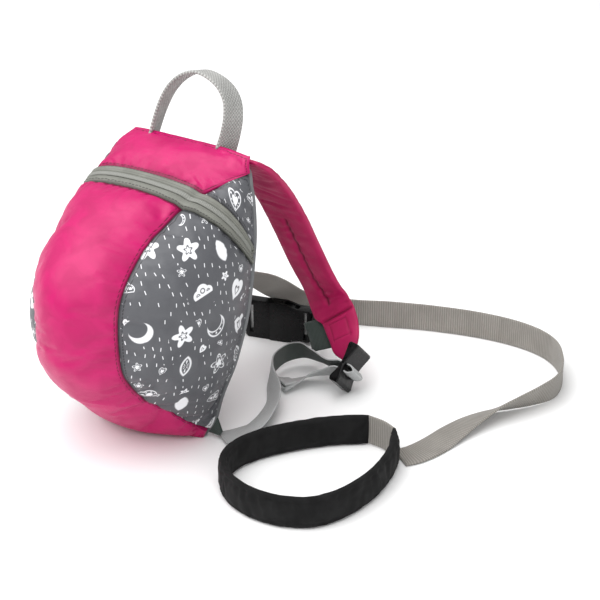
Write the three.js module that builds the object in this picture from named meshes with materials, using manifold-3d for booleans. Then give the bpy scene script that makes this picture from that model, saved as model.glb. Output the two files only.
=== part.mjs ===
// A toddler's harness backpack, in millimetres, +Z up. It leans back on its own straps:
// the bag's front faces -Y, the wearer's side +Y, and the origin is the middle of its flat base.
import * as THREE from 'three';
import { mergeVertices } from 'three/addons/utils/BufferGeometryUtils.js';
import Module from 'manifold-3d';

const wasm = await Module();
wasm.setup();

// Bag
const bagHeight = 225;
const bagWidth = 160;
const bagDepth = 138;
const leanAngle = THREE.MathUtils.degToRad(14);
const sectionRoundness = 1.97;
const panelWall = 2.2;
const zipTapeWall = 1.4;
const backPadThickness = 8;
const backPadEdge = 5;
const backPadCrown = 2;
const seamSink = 2.2;
const seamReach = 7;
const foldDepth = 5;
const gap = 0.3;

// Zip, whose two edges run in tilted planes round the bag
const zipLowHeight = 138;
const zipHighHeight = 149;
const zipLowSlope = 0.9;
const zipHighSlope = 1.25;
const coilWidth = 5;
const coilThickness = 2.2;
const sliderLength = 13;
const sliderWidth = 9;
const sliderThickness = 4;
const sliderTurn = 0.955;

// Grab handle
const handleSpacing = 76;
const handleRise = 54;
const handleWidth = 20;
const handleThickness = 3;

// Shoulder straps
const strapWidth = 42;
const strapThickness = 9;
const strapSetting = 49;
const strapSpread = 54;
const strapReach = 98;
const strapTipHeight = 23.2;

// Narrow webbing and its locks
const webbingWidth = 20;
const webbingThickness = 1.5;
const webbingSwing = 60;
const tailSwing = 25;
const tailLength = 48;
const hemLength = 9;
const lockLength = 36;
const lockSide = 3;
const lockWaist = 4;
const lockFlare = 8;
const lockSlot = 3;
const lockBar = 3;
const slotClearance = 0.6;
const tabHeight = 15;
const tabReach = 11;
const tabThickness = 2.4;

// Chest strap and its buckle, which stands on edge on the floor
const chestWidth = 25;
const chestThickness = 1.6;
const chestEase = 0.9;
const buckleWidth = 36;
const buckleThickness = 11;
const femaleLength = 38;
const maleLength = 22;
const buckleBar = 4;
const buckleWall = 2.2;
const prongLength = 24;
const prongWidth = 5;
const buckleTurn = THREE.MathUtils.degToRad(16);
const buckleCentre = new THREE.Vector2(8, 172.5);

// Leash and wrist loop
const leashWidth = 25;
const leashThickness = 2;
const patchWidth = 38;
const patchHeight = 44;
const patchThickness = 2;
const patchShare = 0.67;
const loopWidth = 26.5;
const loopThickness = 7;

// Sections up the bag: height as a share of bagHeight, width and the front seams' spacing
// as shares of bagWidth, depth as a share of bagDepth.
const bagSections = [
  { up: 0.0, width: 0.69, depth: 0.117, seam: 0.81 },
  { up: 0.06, width: 0.79, depth: 0.386, seam: 0.7 },
  { up: 0.15, width: 0.83, depth: 0.703, seam: 0.55 },
  { up: 0.3, width: 0.94, depth: 0.944, seam: 0.532 },
  { up: 0.5, width: 1.0, depth: 1.0, seam: 0.522 },
  { up: 0.7, width: 0.975, depth: 0.784, seam: 0.485 },
  { up: 0.85, width: 0.9, depth: 0.44, seam: 0.515 },
  { up: 0.945, width: 0.79, depth: 0.19, seam: 0.778 },
  { up: 1.0, width: 0.67, depth: 0.09, seam: 0.9 },
];

// Folds in the cloth: middle and half size as shares of the height and of the half turn
// from the right side to the left, depth as a share of foldDepth.
const bagFolds = [
  { up: 0.1, turn: 0.3, tall: 0.05, wide: 0.1, deep: 0.7 },
  { up: 0.17, turn: 0.42, tall: 0.05, wide: 0.12, deep: 0.5 },
  { up: 0.12, turn: 0.64, tall: 0.05, wide: 0.12, deep: 0.7 },
  { up: 0.3, turn: 0.38, tall: 0.04, wide: 0.06, deep: 0.5 },
  { up: 0.48, turn: 0.37, tall: 0.05, wide: 0.06, deep: 0.4 },
  { up: 0.34, turn: 0.12, tall: 0.12, wide: 0.07, deep: 0.5 },
  { up: 0.52, turn: 0.9, tall: 0.12, wide: 0.07, deep: 0.5 },
  { up: 0.76, turn: 0.5, tall: 0.04, wide: 0.16, deep: 0.4 },
  { up: 0.94, turn: 0.4, tall: 0.03, wide: 0.1, deep: 0.3 },
];

// The shoulder strap from the bag to its tip: drop as a share of the fall, out as a share
// of strapSpread, back as a share of strapReach, then width and thickness as shares.
const strapSections = [
  { drop: 0.0, out: 0.0, back: 0.0, width: 0.9, thickness: 0.5 },
  { drop: 0.06, out: 0.0, back: 0.16, width: 1.0, thickness: 0.9 },
  { drop: 0.19, out: 0.0, back: 0.4, width: 1.0, thickness: 1.0 },
  { drop: 0.34, out: 0.02, back: 0.6, width: 1.0, thickness: 1.0 },
  { drop: 0.49, out: 0.07, back: 0.75, width: 0.98, thickness: 1.0 },
  { drop: 0.64, out: 0.17, back: 0.87, width: 0.98, thickness: 1.0 },
  { drop: 0.77, out: 0.31, back: 0.965, width: 0.98, thickness: 0.85 },
  { drop: 0.83, out: 0.44, back: 0.96, width: 0.95, thickness: 0.5 },
  { drop: 0.88, out: 0.6, back: 0.92, width: 0.9, thickness: 0.6 },
  { drop: 0.94, out: 0.79, back: 0.85, width: 0.75, thickness: 0.6 },
  { drop: 1.0, out: 1.0, back: 0.78, width: 0.21, thickness: 0.4 },
];

// The webbing from the corner tab to the lock: along as a share of the way, swing as a
// share of webbingSwing towards +X, rise as a share of its width, and how it leans.
const webbingRoute = [
  { along: 0.0, swing: 0.0, rise: 0.12, lean: 88 },
  { along: 0.09, swing: 0.05, rise: 0.14, lean: 84 },
  { along: 0.19, swing: 0.11, rise: 0.3, lean: 72 },
  { along: 0.31, swing: 0.015, rise: 0.42, lean: 58 },
  { along: 0.44, swing: -0.18, rise: 0.48, lean: 46 },
  { along: 0.52, swing: -0.36, rise: 0.52, lean: 34 },
  { along: 0.64, swing: -0.78, rise: 0.56, lean: 12 },
  { along: 0.745, swing: -1.0, rise: 0.6, lean: 5 },
  { along: 0.88, swing: -1.08, rise: 0.72, lean: 12 },
  { along: 0.965, swing: -0.97, rise: 0.82, lean: 24 },
  { along: 0.975, swing: -0.66, rise: 0.92, lean: 36 },
  { along: 0.97, swing: -0.28, rise: 1.0, lean: 43 },
];

// Its free tail, from the lock to the hemmed end, in the same terms and along tailLength.
const tailRoute = [
  { along: 0.34, swing: -0.06, rise: 0.75, lean: 48 },
  { along: 0.58, swing: 0.06, rise: 0.55, lean: 54 },
  { along: 0.77, swing: 0.3, rise: 0.35, lean: 62 },
  { along: 0.9, swing: 0.66, rise: 0.25, lean: 74 },
  { along: 1.0, swing: 1.0, rise: 0.2, lean: 86 },
];

// The leash's route is a cord's: points chosen by hand from the bag to the wrist loop,
// each with the angle that its webbing leans from standing on edge.
const leashRoute = [
  [0, 50, 143, 90],
  [0.3, 64.5, 125, 88],
  [8, 97.5, 97, 72],
  [12.8, 133.5, 75, 58],
  [8.5, 156.5, 59, 52],
  [4, 180.5, 42, 45],
  [6, 199.5, 27.5, 36],
  [13, 214.5, 18.5, 24],
  [28, 223.5, 14.5, 12],
  [47.5, 231.5, 12.7, 4],
  [67.5, 241, 12.7, 0],
  [90, 251.5, 12.7, 0],
  [113, 260.5, 12.7, 0],
  [149, 271, 12.7, 0],
  [182, 275, 12.7, 0],
  [210, 271.5, 12.7, 0],
  [231, 260, 12.7, 0],
  [248.5, 236.5, 12.7, 0],
  [256, 209.5, 12.8, -10],
  [250, 188, 12.3, -25],
  [239, 168, 10.5, -42],
  [228.5, 152, 8.1, -58],
  [221, 133.5, 5.5, -72],
  [216, 111.5, 2.9, -84],
  [213.5, 94.5, 1.3, -90],
  [210.5, 79.5, 1.3, -90],
  [206.5, 68, 1.3, -90],
  [200.5, 59, 1.3, -90],
];

// The wrist loop's middle line on the floor, from one end of its pad to the other.
const loopRoute = [
  [168, 64.5],
  [153, 53.5],
  [138, 38.5],
  [122, 17.5],
  [110, -4.5],
  [105, -24.5],
  [108, -43.5],
  [118, -57.5],
  [133, -67.5],
  [150, -72.5],
  [168, -72.5],
  [186, -67],
  [199, -57.5],
  [208.5, -39.5],
  [213.5, -9.5],
  [212, 13.5],
  [208, 32.5],
  [202.5, 47.5],
  [194.5, 59.5],
];

const cloth = (color) => new THREE.MeshStandardMaterial({ color, roughness: 0.75, metalness: 0 });
const pinkNylon = cloth(0xd92b7c);
const greyPrint = cloth(0x6b6c70);
const greyNylon = cloth(0x7d7f82);
const greyWebbing = cloth(0x9c9891);
const darkWebbing = cloth(0x46534c);
const blackCloth = cloth(0x17171a);
const blackPlastic = new THREE.MeshStandardMaterial({ color: 0x121214, roughness: 0.35, metalness: 0 });

const model = new THREE.Group();
const upright = new THREE.Vector3(0, 0, 1);

function addNode(name, geometry, material) {
  const mesh = new THREE.Mesh(geometry, material.clone());
  mesh.name = name;
  model.add(mesh);
}

// A closed body from points and triangles, turned so that its faces point out.
function closedBody(points, triangles) {
  let volume = 0;
  for (let i = 0; i < triangles.length; i += 3) {
    const [a, b, c] = [points[triangles[i]], points[triangles[i + 1]], points[triangles[i + 2]]];
    volume += a.dot(b.clone().cross(c));
  }
  const index = volume > 0 ? triangles : [...triangles].reverse();
  const geometry = new THREE.BufferGeometry();
  geometry.setAttribute('position', new THREE.Float32BufferAttribute(points.flatMap((p) => p.toArray()), 3));
  geometry.setIndex(index);
  return geometry;
}

// A body lofted through rings of points, with flat ends.
function loftedBody(rings) {
  const count = rings[0].length;
  const points = rings.flat();
  const triangles = [];
  for (let i = 0; i + 1 < rings.length; i += 1) {
    for (let j = 0; j < count; j += 1) {
      const a = i * count + j;
      const b = i * count + ((j + 1) % count);
      triangles.push(a, b, b + count, a, b + count, a + count);
    }
  }
  const last = (rings.length - 1) * count;
  for (let j = 1; j + 1 < count; j += 1) {
    triangles.push(0, j + 1, j);
    triangles.push(last, last + j, last + j + 1);
  }
  return closedBody(points, triangles);
}

// A sheet with a wall: place(a, b, depth) gives its point at shares a and b, depth below the skin.
function walledSheet(place, columns, rows, wall) {
  const points = [];
  for (const depth of [0, wall]) {
    for (let j = 0; j <= rows; j += 1) {
      for (let i = 0; i <= columns; i += 1) {
        points.push(place(i / columns, j / rows, depth));
      }
    }
  }
  const layer = (columns + 1) * (rows + 1);
  const triangles = [];
  const quad = (a, b, c, d) => triangles.push(a, b, c, a, c, d);
  const at = (i, j) => j * (columns + 1) + i;
  for (let j = 0; j < rows; j += 1) {
    for (let i = 0; i < columns; i += 1) {
      quad(at(i, j), at(i + 1, j), at(i + 1, j + 1), at(i, j + 1));
      quad(layer + at(i, j), layer + at(i, j + 1), layer + at(i + 1, j + 1), layer + at(i + 1, j));
    }
  }
  const rim = [];
  for (let i = 0; i < columns; i += 1) rim.push(at(i, 0));
  for (let j = 0; j < rows; j += 1) rim.push(at(columns, j));
  for (let i = columns; i > 0; i -= 1) rim.push(at(i, rows));
  for (let j = rows; j > 0; j -= 1) rim.push(at(0, j));
  rim.forEach((from, k) => {
    const to = rim[(k + 1) % rim.length];
    quad(to, from, layer + from, layer + to);
  });
  return closedBody(points, triangles);
}

// A smooth curve through one column of a table, that never swings past its rows.
function column(rows, key, value) {
  const x = rows.map((row) => row[key]);
  const y = rows.map((row) => row[value]);
  const rise = x.slice(1).map((end, i) => (y[i + 1] - y[i]) / (end - x[i]));
  const slope = x.map((_, i) => {
    if (i === 0) return rise[0];
    if (i === x.length - 1) return rise[i - 1];
    return rise[i - 1] * rise[i] > 0 ? (2 * rise[i - 1] * rise[i]) / (rise[i - 1] + rise[i]) : 0;
  });
  return (at) => {
    let i = 0;
    while (i < x.length - 2 && at > x[i + 1]) i += 1;
    const span = x[i + 1] - x[i];
    const t = (at - x[i]) / span;
    const start = (1 + 2 * t) * (1 - t) ** 2 * y[i] + t * (1 - t) ** 2 * span * slope[i];
    return start + t * t * (3 - 2 * t) * y[i + 1] + t * t * (t - 1) * span * slope[i + 1];
  };
}

const halfWidthAt = column(bagSections, 'up', 'width');
const depthAt = column(bagSections, 'up', 'depth');
const seamAt = column(bagSections, 'up', 'seam');
const baseDepth = (bagDepth * bagSections[0].depth) / Math.cos(leanAngle);
const shellStart = backPadThickness + gap;
const bottomBlend = 0.1;

// A point of the leaning bag: x across, rise up its back panel, forward out of that panel.
function bagToWorld(x, rise, forward) {
  return new THREE.Vector3(
    x,
    rise * Math.sin(leanAngle) - forward * Math.cos(leanAngle) + baseDepth / 2,
    rise * Math.cos(leanAngle) + forward * Math.sin(leanAngle),
  );
}

// The lowest sections tip forward until the first one lies flat on the floor.
function riseAt(up, forward) {
  const tip = Math.max(0, 1 - up / bottomBlend) ** 2;
  return up * bagHeight - forward * Math.tan(leanAngle) * tip;
}

// The bag's outline before seams and folds, at a share of the height and a turn from right to left.
function bagOutline(up, turn) {
  const halfWidth = (halfWidthAt(up) * bagWidth) / 2;
  const depth = Math.max(depthAt(up) * bagDepth - shellStart, panelWall);
  const power = 2 / sectionRoundness;
  const cos = Math.cos(turn);
  const x = halfWidth * Math.sign(cos) * Math.abs(cos) ** power;
  const forward = shellStart + depth * Math.abs(Math.sin(turn)) ** power;
  return { x, rise: riseAt(up, forward), forward, halfWidth };
}

// The turn at which the right front seam crosses a height; the left one mirrors it.
function seamTurn(up) {
  const share = Math.min(1, seamAt(up) / halfWidthAt(up));
  return Math.acos(share ** (sectionRoundness / 2));
}

// How far the cloth lies below the outline: drawn in beside each seam, and in its folds.
function sinkAt(up, turn) {
  const halfWidth = (halfWidthAt(up) * bagWidth) / 2;
  const near = Math.abs(Math.min(turn, Math.PI - turn) - seamTurn(up)) * halfWidth;
  let sink = seamSink * Math.exp(-((near / seamReach) ** 2));
  for (const fold of bagFolds) {
    const u = (up - fold.up) / fold.tall;
    const v = (turn / Math.PI - fold.turn) / fold.wide;
    sink += foldDepth * fold.deep * Math.exp(-(u * u + v * v) * 1.5);
  }
  return sink * THREE.MathUtils.smoothstep(Math.min(up, 1 - up), 0, bottomBlend / 2);
}

// A point of the bag's cloth, depth below its outer skin. The cloth stops short of the back panel.
function skinPoint(up, turn, depth) {
  const step = 0.004;
  const [upLow, upHigh] = [Math.max(0, up - step), Math.min(1, up + step)];
  const [turnLow, turnHigh] = [Math.max(0, turn - step), Math.min(Math.PI, turn + step)];
  const outline = (u, t) => {
    const p = bagOutline(u, t);
    return new THREE.Vector3(p.x, p.rise, p.forward);
  };
  const alongUp = outline(upHigh, turn).sub(outline(upLow, turn));
  const alongTurn = outline(up, turnHigh).sub(outline(up, turnLow));
  const inward = alongTurn.cross(alongUp).normalize();
  const point = outline(up, turn).addScaledVector(inward, sinkAt(up, turn) + depth);
  return bagToWorld(point.x, point.y, Math.max(point.z, shellStart));
}

// The share of the height at which a line up the bag meets a tilted plane through it.
function upAtPlane(turnOf, height, slope) {
  let [low, high] = [0.3, 1];
  for (let i = 0; i < 30; i += 1) {
    const middle = (low + high) / 2;
    const p = bagOutline(middle, turnOf(middle));
    if (p.rise < height + slope * p.forward) low = middle;
    else high = middle;
  }
  return (low + high) / 2;
}

const zipLow = (turnOf, offset) => upAtPlane(turnOf, zipLowHeight + offset * Math.hypot(1, zipLowSlope), zipLowSlope);
const zipHigh = (turnOf, offset) => (
  upAtPlane(turnOf, zipHighHeight + offset * Math.hypot(1, zipHighSlope), zipHighSlope)
);

// Half the seam gap, as a turn.
const seamEase = (up) => gap / (halfWidthAt(up) * bagWidth);
// Columns crowd towards the seams, where the cloth bends most.
const crowd = (share) => (1 - Math.cos(Math.PI * share)) / 2;

const sideTurn = (share) => (up) => (seamTurn(up) - seamEase(up)) * share;
const mirrorTurn = (turnOf) => (up) => Math.PI - turnOf(up);
const frontTurn = (share) => (up) => {
  const edge = seamTurn(up) + seamEase(up);
  return edge + (Math.PI - 2 * edge) * share;
};

// The rows of the front and side panels meet at the seam. They crowd towards the floor,
// and the side panels taper to a tip a few rows above it.
const panelRows = 22;
const sideFirstRow = 3;
const rowShare = (row) => (row / panelRows) ** 1.5;
const underZip = (line, row) => zipLow(line, -gap / 2) * rowShare(row);

// Over the zip, the rows of the top and side pieces meet too, up to the side pieces' tips.
const sideTopTip = 0.94;
const topRows = 8;
const crownRows = 3;
const overZip = (line, row) => (
  row > topRows
    ? THREE.MathUtils.lerp(sideTopTip, 1, (row - topRows) / crownRows)
    : THREE.MathUtils.lerp(zipHigh(line, gap / 2), sideTopTip, row / topRows)
);

// A panel whose columns run along the lines that turnOf gives, and whose rows follow upOf.
function bagPanel(turnOf, upOf, columns, rows, wall) {
  return walledSheet((a, b, depth) => {
    const line = turnOf(crowd(a));
    const up = upOf(line, b * rows);
    return skinPoint(up, line(up), depth);
  }, columns, rows, wall);
}

function addSidePanels() {
  const left = (share) => mirrorTurn(sideTurn(share));
  const fromTip = (line, row) => underZip(line, sideFirstRow + row);
  for (const [name, turnOf] of [['right', sideTurn], ['left', left]]) {
    const panel = bagPanel(turnOf, fromTip, 8, panelRows - sideFirstRow, panelWall);
    addNode(`side_panel_${name}`, panel, greyPrint);
    addNode(`side_top_${name}`, bagPanel(turnOf, overZip, 6, topRows, panelWall), greyPrint);
  }
}

// The front panel runs down and back under the bag, where it lies flat on the floor.
function addFrontPanel() {
  const baseRows = 2;
  const rows = panelRows + baseRows;
  const place = (a, b, depth) => {
    const line = frontTurn(crowd(a));
    const row = b * rows - baseRows;
    if (row >= 0) {
      const up = underZip(line, row);
      return skinPoint(up, line(up), depth);
    }
    const edge = bagOutline(0, line(0));
    const forward = THREE.MathUtils.lerp(shellStart, edge.forward, 1 + row / baseRows);
    const floor = bagToWorld(edge.x, riseAt(0, forward), forward);
    floor.z += depth;
    return floor;
  };
  addNode('front_panel', walledSheet(place, 18, rows, panelWall), pinkNylon);
}

function addTopPanel() {
  addNode('top_panel', bagPanel(frontTurn, overZip, 16, topRows + crownRows, panelWall), pinkNylon);
}

function addZip() {
  const zipColumns = 36;
  const all = (share) => () => Math.PI * share;
  const low = (line) => zipLow(line, gap / 2);
  const high = (line) => zipHigh(line, -gap / 2);
  const zipRows = 3;
  const between = (line, row) => THREE.MathUtils.lerp(low(line), high(line), row / zipRows);
  addNode('zip_band', bagPanel(all, between, zipColumns, zipRows, zipTapeWall), greyNylon);
  const coilFrame = (share, lift) => {
    const turn = Math.PI * share;
    const line = () => turn;
    const up = (low(line) + high(line)) / 2;
    const middle = skinPoint(up, turn, -gap - lift);
    const across = skinPoint(high(line), turn, 0).sub(skinPoint(low(line), turn, 0)).normalize();
    const out = middle.clone().sub(skinPoint(up, turn, 0)).normalize();
    return { middle, across, out };
  };
  const coilRing = (share) => {
    const { middle, across, out } = coilFrame(share, 0);
    const corners = [[-0.5, 0], [0.5, 0], [0.5, 0.5], [0.25, 1], [-0.25, 1], [-0.5, 0.5]];
    return corners.map(([side, lift]) => (
      middle.clone().addScaledVector(across, side * coilWidth).addScaledVector(out, lift * coilThickness)
    ));
  };
  const shares = Array.from({ length: zipColumns - 5 }, (_, i) => crowd((i + 3) / zipColumns));
  addNode('zip_coil', loftedBody(shares.map(coilRing)), greyNylon);
  const { middle, across, out } = coilFrame(sliderTurn, coilThickness + gap);
  const slider = new THREE.BoxGeometry(sliderWidth, sliderLength, sliderThickness);
  slider.translate(0, 0, sliderThickness / 2 + gap);
  slider.applyMatrix4(new THREE.Matrix4().makeBasis(across, out.clone().cross(across), out).setPosition(middle));
  addNode('zip_slider', slider, greyNylon);
}

// The back panel is a padded board: thin at its sewn edge, crowned towards the wearer.
function addBackPanel() {
  const place = (a, b, depth) => {
    const across = 2 * a - 1;
    const middle = Math.sqrt((1 - across ** 4) * (1 - (2 * b - 1) ** 4));
    const thickness = backPadEdge + (backPadThickness + backPadCrown - backPadEdge) * middle;
    const forward = depth > 0 ? backPadThickness : backPadThickness - thickness;
    return bagToWorld((across * halfWidthAt(b) * bagWidth) / 2, riseAt(b, forward), forward);
  };
  addNode('back_panel', walledSheet(place, 14, 16, 1), greyNylon);
}

// Frames along a strip: where it is, the way across it and the way out of its face.
function stripFrames(route, sides, steps) {
  const path = new THREE.CatmullRomCurve3(route, false, 'centripetal');
  const across = new THREE.CatmullRomCurve3(sides, false, 'centripetal');
  return Array.from({ length: steps + 1 }, (_, i) => {
    const t = i / steps;
    const tangent = path.getTangent(t);
    const side = across.getPoint(t);
    side.addScaledVector(tangent, -side.dot(tangent)).normalize();
    return { at: path.getPoint(t), side, out: tangent.clone().cross(side), share: t };
  });
}

// The way across a strip that leans from standing on edge, for the way it runs.
function leaningSides(route, leans) {
  const path = new THREE.CatmullRomCurve3(route, false, 'centripetal');
  return route.map((_, i) => {
    const tangent = path.getTangent(i / (route.length - 1));
    const lean = THREE.MathUtils.degToRad(leans[i]);
    const level = tangent.clone().cross(upright).normalize();
    return new THREE.Vector3(0, 0, Math.cos(lean)).addScaledVector(level, Math.sin(lean));
  });
}

// The corners of a strip's section: a flat band, or a rounded pad.
const bandCorners = [[-0.5, -0.5], [0.5, -0.5], [0.5, 0.5], [-0.5, 0.5]];
const padCorners = Array.from({ length: 12 }, (_, i) => {
  const angle = (i / 12 + 1 / 24) * 2 * Math.PI;
  const square = (v) => (Math.sign(v) * Math.abs(v) ** 0.6) / 2;
  return [square(Math.cos(angle)), square(Math.sin(angle))];
});

function stripBody(frames, corners, width, thickness) {
  return loftedBody(frames.map((frame) => corners.map(([u, v]) => (
    frame.at.clone()
      .addScaledVector(frame.side, u * width(frame.share))
      .addScaledVector(frame.out, v * thickness(frame.share))
  ))));
}

const same = (value) => () => value;

// The grab handle stands on the top edge, in the plane of the back panel.
function addHandle() {
  const foot = bagHeight + 3 * gap;
  const arch = [[0.465, 0], [0.49, 0.2], [0.5, 0.45], [0.465, 0.68], [0.37, 0.85], [0.22, 0.96], [0.05, 1],
    [-0.1, 0.94], [-0.24, 0.79], [-0.34, 0.58], [-0.41, 0.3], [-0.455, 0]];
  const route = arch.map(([x, y]) => bagToWorld(x * handleSpacing, foot + y * handleRise, 0));
  const forward = bagToWorld(0, 0, 1).sub(bagToWorld(0, 0, 0));
  const frames = stripFrames(route, route.map(() => forward), 30);
  addNode('grab_handle', stripBody(frames, bandCorners, same(handleWidth), same(handleThickness)), greyWebbing);
}

const mirrored = (v, side) => new THREE.Vector3(v.x * side, v.y, v.z);

// The right strap's rows as points, from the back panel's top edge down to the lock.
function strapPoints() {
  const root = bagToWorld(strapSetting, bagHeight - strapThickness / 2, backPadThickness - backPadEdge);
  root.y += strapThickness / 4;
  return strapSections.map(({ drop, out, back }) => new THREE.Vector3(
    root.x + out * strapSpread,
    root.y + back * strapReach,
    THREE.MathUtils.lerp(root.z, strapTipHeight, drop),
  ));
}

const strapRoute = strapPoints();
const strapTip = strapRoute[strapRoute.length - 1];

const strapSteps = 30;
const strapShares = strapSections.map((row, i) => ({ ...row, share: i / (strapSections.length - 1) }));
const strapWidthAt = column(strapShares, 'share', 'width');
const strapThicknessAt = column(strapShares, 'share', 'thickness');
const strapSide = new THREE.Vector3(1, 0, 0);
const strapFrames = stripFrames(strapRoute, strapRoute.map(() => strapSide), strapSteps);

function addStraps() {
  const width = (t) => strapWidthAt(t) * strapWidth;
  const thickness = (t) => strapThicknessAt(t) * strapThickness;
  const right = stripBody(strapFrames, padCorners, width, thickness);
  addNode('shoulder_strap_right', right, pinkNylon);
  addNode('shoulder_strap_left', mirrorOf(right), pinkNylon);
}

// Where the chest webbing meets the outer face of a shoulder strap: beside it, then sewn to it.
const chestSeats = [[24, 0.74], [25, 0.22]].map(([step, aside]) => {
  const frame = strapFrames[step];
  const away = -(strapThicknessAt(frame.share) * strapThickness + chestThickness) / 2 - chestEase;
  const at = frame.at.clone()
    .addScaledVector(frame.side, -aside * strapWidth)
    .addScaledVector(frame.out, away);
  return { at, side: new THREE.Vector3().subVectors(strapFrames[step - 1].at, frame.at).normalize() };
});

// The lock hangs at the strap's tip: its length runs down and forward, its bars across.
const lockAlong = new THREE.Vector3(-0.14, -0.7, -0.7).normalize();
const lockAcross = new THREE.Vector3(0, -0.7, 0.7).normalize();
const lockOut = lockAcross.clone().cross(lockAlong).normalize();
const lockWidth = webbingWidth + 2 * slotClearance + 2 * lockSide;
const lockTipShare = 0.19;
const lockCentre = strapTip.clone()
  .addScaledVector(lockAlong, lockLength * lockTipShare)
  .addScaledVector(lockAcross, lockWidth * 0.3)
  .addScaledVector(lockOut, lockFlare + gap);
const slotIn = lockSlot / 2 - lockBar / 2;
const slotOut = slotIn + lockSlot + lockBar;

function solid(geometry) {
  const bare = geometry.clone();
  bare.deleteAttribute('normal');
  bare.deleteAttribute('uv');
  const merged = mergeVertices(bare, 1e-4);
  return new wasm.Manifold(new wasm.Mesh({
    numProp: 3,
    vertProperties: new Float32Array(merged.attributes.position.array),
    triVerts: new Uint32Array(merged.index.array),
  }));
}

function geometryOf(body) {
  const mesh = body.getMesh();
  const geometry = new THREE.BufferGeometry();
  geometry.setAttribute('position', new THREE.Float32BufferAttribute(mesh.vertProperties, 3));
  geometry.setIndex([...mesh.triVerts]);
  return geometry;
}

function outlineShape(points) {
  return new THREE.Shape(points.map(([x, y]) => new THREE.Vector2(x, y)));
}

function prism(shape, thickness) {
  const geometry = new THREE.ExtrudeGeometry(shape, { depth: thickness, bevelEnabled: false, curveSegments: 6 });
  geometry.translate(0, 0, -thickness / 2);
  return geometry;
}

const block = (x, y, z, at) => new THREE.BoxGeometry(x, y, z).translate(...at);

// Seen from its side the lock is a bow tie: thick ends and a waist, with two slots for the webbing.
function lockBody() {
  const half = lockLength / 2;
  const profile = [[-half, -0.5], [-half + 2, -0.62], [-3, -0.25], [6, -0.25], [half - 3, -0.62], [half, -0.45],
    [half, 0.45], [half - 3, 0.62], [6, 0.25], [-3, 0.25], [-half + 2, 0.62], [-half, 0.5]];
  const shape = outlineShape(profile.map(([along, out]) => [along, out * Math.max(lockFlare, lockWaist)]));
  let body = solid(prism(shape, lockWidth));
  for (const along of [slotIn, slotOut]) {
    body = body.subtract(solid(block(lockSlot, 3 * lockFlare, webbingWidth + 2 * slotClearance, [along, 0, 0])));
  }
  return geometryOf(body);
}

function addLocks() {
  for (const [name, side] of [['right', 1], ['left', -1]]) {
    const geometry = lockBody();
    const across = lockAlong.clone().cross(lockOut);
    geometry.applyMatrix4(new THREE.Matrix4().makeBasis(lockAlong, lockOut, across).setPosition(lockCentre));
    addNode(`ladder_lock_${name}`, side > 0 ? geometry : mirrorOf(geometry), blackPlastic);
  }
}

// The same solid on the other side of the bag.
function mirrorOf(geometry) {
  const merged = mergeVertices(geometry, 1e-4);
  const position = merged.attributes.position;
  const points = Array.from({ length: position.count }, (_, i) => (
    new THREE.Vector3(-position.getX(i), position.getY(i), position.getZ(i))
  ));
  return closedBody(points, [...merged.index.array]);
}

// The corner tab's outer point, where the webbing starts.
const tabRise = 4;
const tabMiddle = backPadThickness - backPadEdge / 2;
const edgeAt = (rise) => (halfWidthAt(rise / bagHeight) * bagWidth) / 2 + gap;
const tabTip = () => bagToWorld(edgeAt(tabRise) + tabReach, tabRise, tabMiddle);

function addCornerTabs() {
  const low = 2;
  const edge = [low, low + tabHeight / 2, low + tabHeight].map((rise) => [edgeAt(rise) + 2 * gap, rise]);
  const outer = [[edgeAt(tabRise) + tabReach, tabRise + 3], [edgeAt(tabRise) + tabReach, tabRise - 1.5]];
  const shape = outlineShape([...edge, ...outer]);
  const across = new THREE.Vector3(1, 0, 0);
  const up = bagToWorld(0, 1, 0).sub(bagToWorld(0, 0, 0));
  const forward = bagToWorld(0, 0, 1).sub(bagToWorld(0, 0, 0));
  const place = new THREE.Matrix4().makeBasis(across, up, across.clone().cross(up));
  place.setPosition(bagToWorld(0, 0, 0).addScaledVector(forward, tabMiddle));
  const geometry = prism(shape, tabThickness).applyMatrix4(place);
  geometry.deleteAttribute('normal');
  geometry.deleteAttribute('uv');
  addNode('corner_tab_right', mergeVertices(geometry, 1e-4), darkWebbing);
  addNode('corner_tab_left', mirrorOf(mergeVertices(geometry, 1e-4)), darkWebbing);
}

// A point beside the straight way between two ends, and above the floor.
function besideWay(from, to, row, length, swing) {
  const way = to.clone().sub(from).setZ(0).normalize();
  const aside = new THREE.Vector3(way.y, -way.x, 0);
  const point = from.clone().setZ(0).addScaledVector(way, row.along * length);
  return point.addScaledVector(aside, row.swing * swing).setZ(row.rise * webbingWidth);
}

// The adjusting webbing: up to the lock, round its middle bar and back out as the tail.
function webbingRows() {
  const start = tabTip();
  start.x += gap + 1;
  const inside = lockCentre.clone().addScaledVector(lockAlong, slotIn);
  const outside = lockCentre.clone().addScaledVector(lockAlong, slotOut);
  const length = Math.hypot(inside.x - start.x, inside.y - start.y);
  const rows = webbingRoute.map((row) => ({ at: besideWay(start, inside, row, length, webbingSwing), lean: row.lean }));
  const away = 6;
  const loop = [
    inside.clone().addScaledVector(lockOut, -away),
    inside.clone(),
    inside.clone().addScaledVector(lockOut, away),
    inside.clone().lerp(outside, 0.5).addScaledVector(lockOut, away + 4),
    outside.clone().addScaledVector(lockOut, away),
    outside.clone(),
    outside.clone().addScaledVector(lockOut, -away),
  ];
  const tailEnd = outside.clone().add(new THREE.Vector3(-tailLength, 0, 0));
  const tail = tailRoute.map((row) => ({
    at: besideWay(outside, tailEnd, row, tailLength, -tailSwing),
    lean: -row.lean,
  }));
  return { rows, loop, tail };
}

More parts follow.
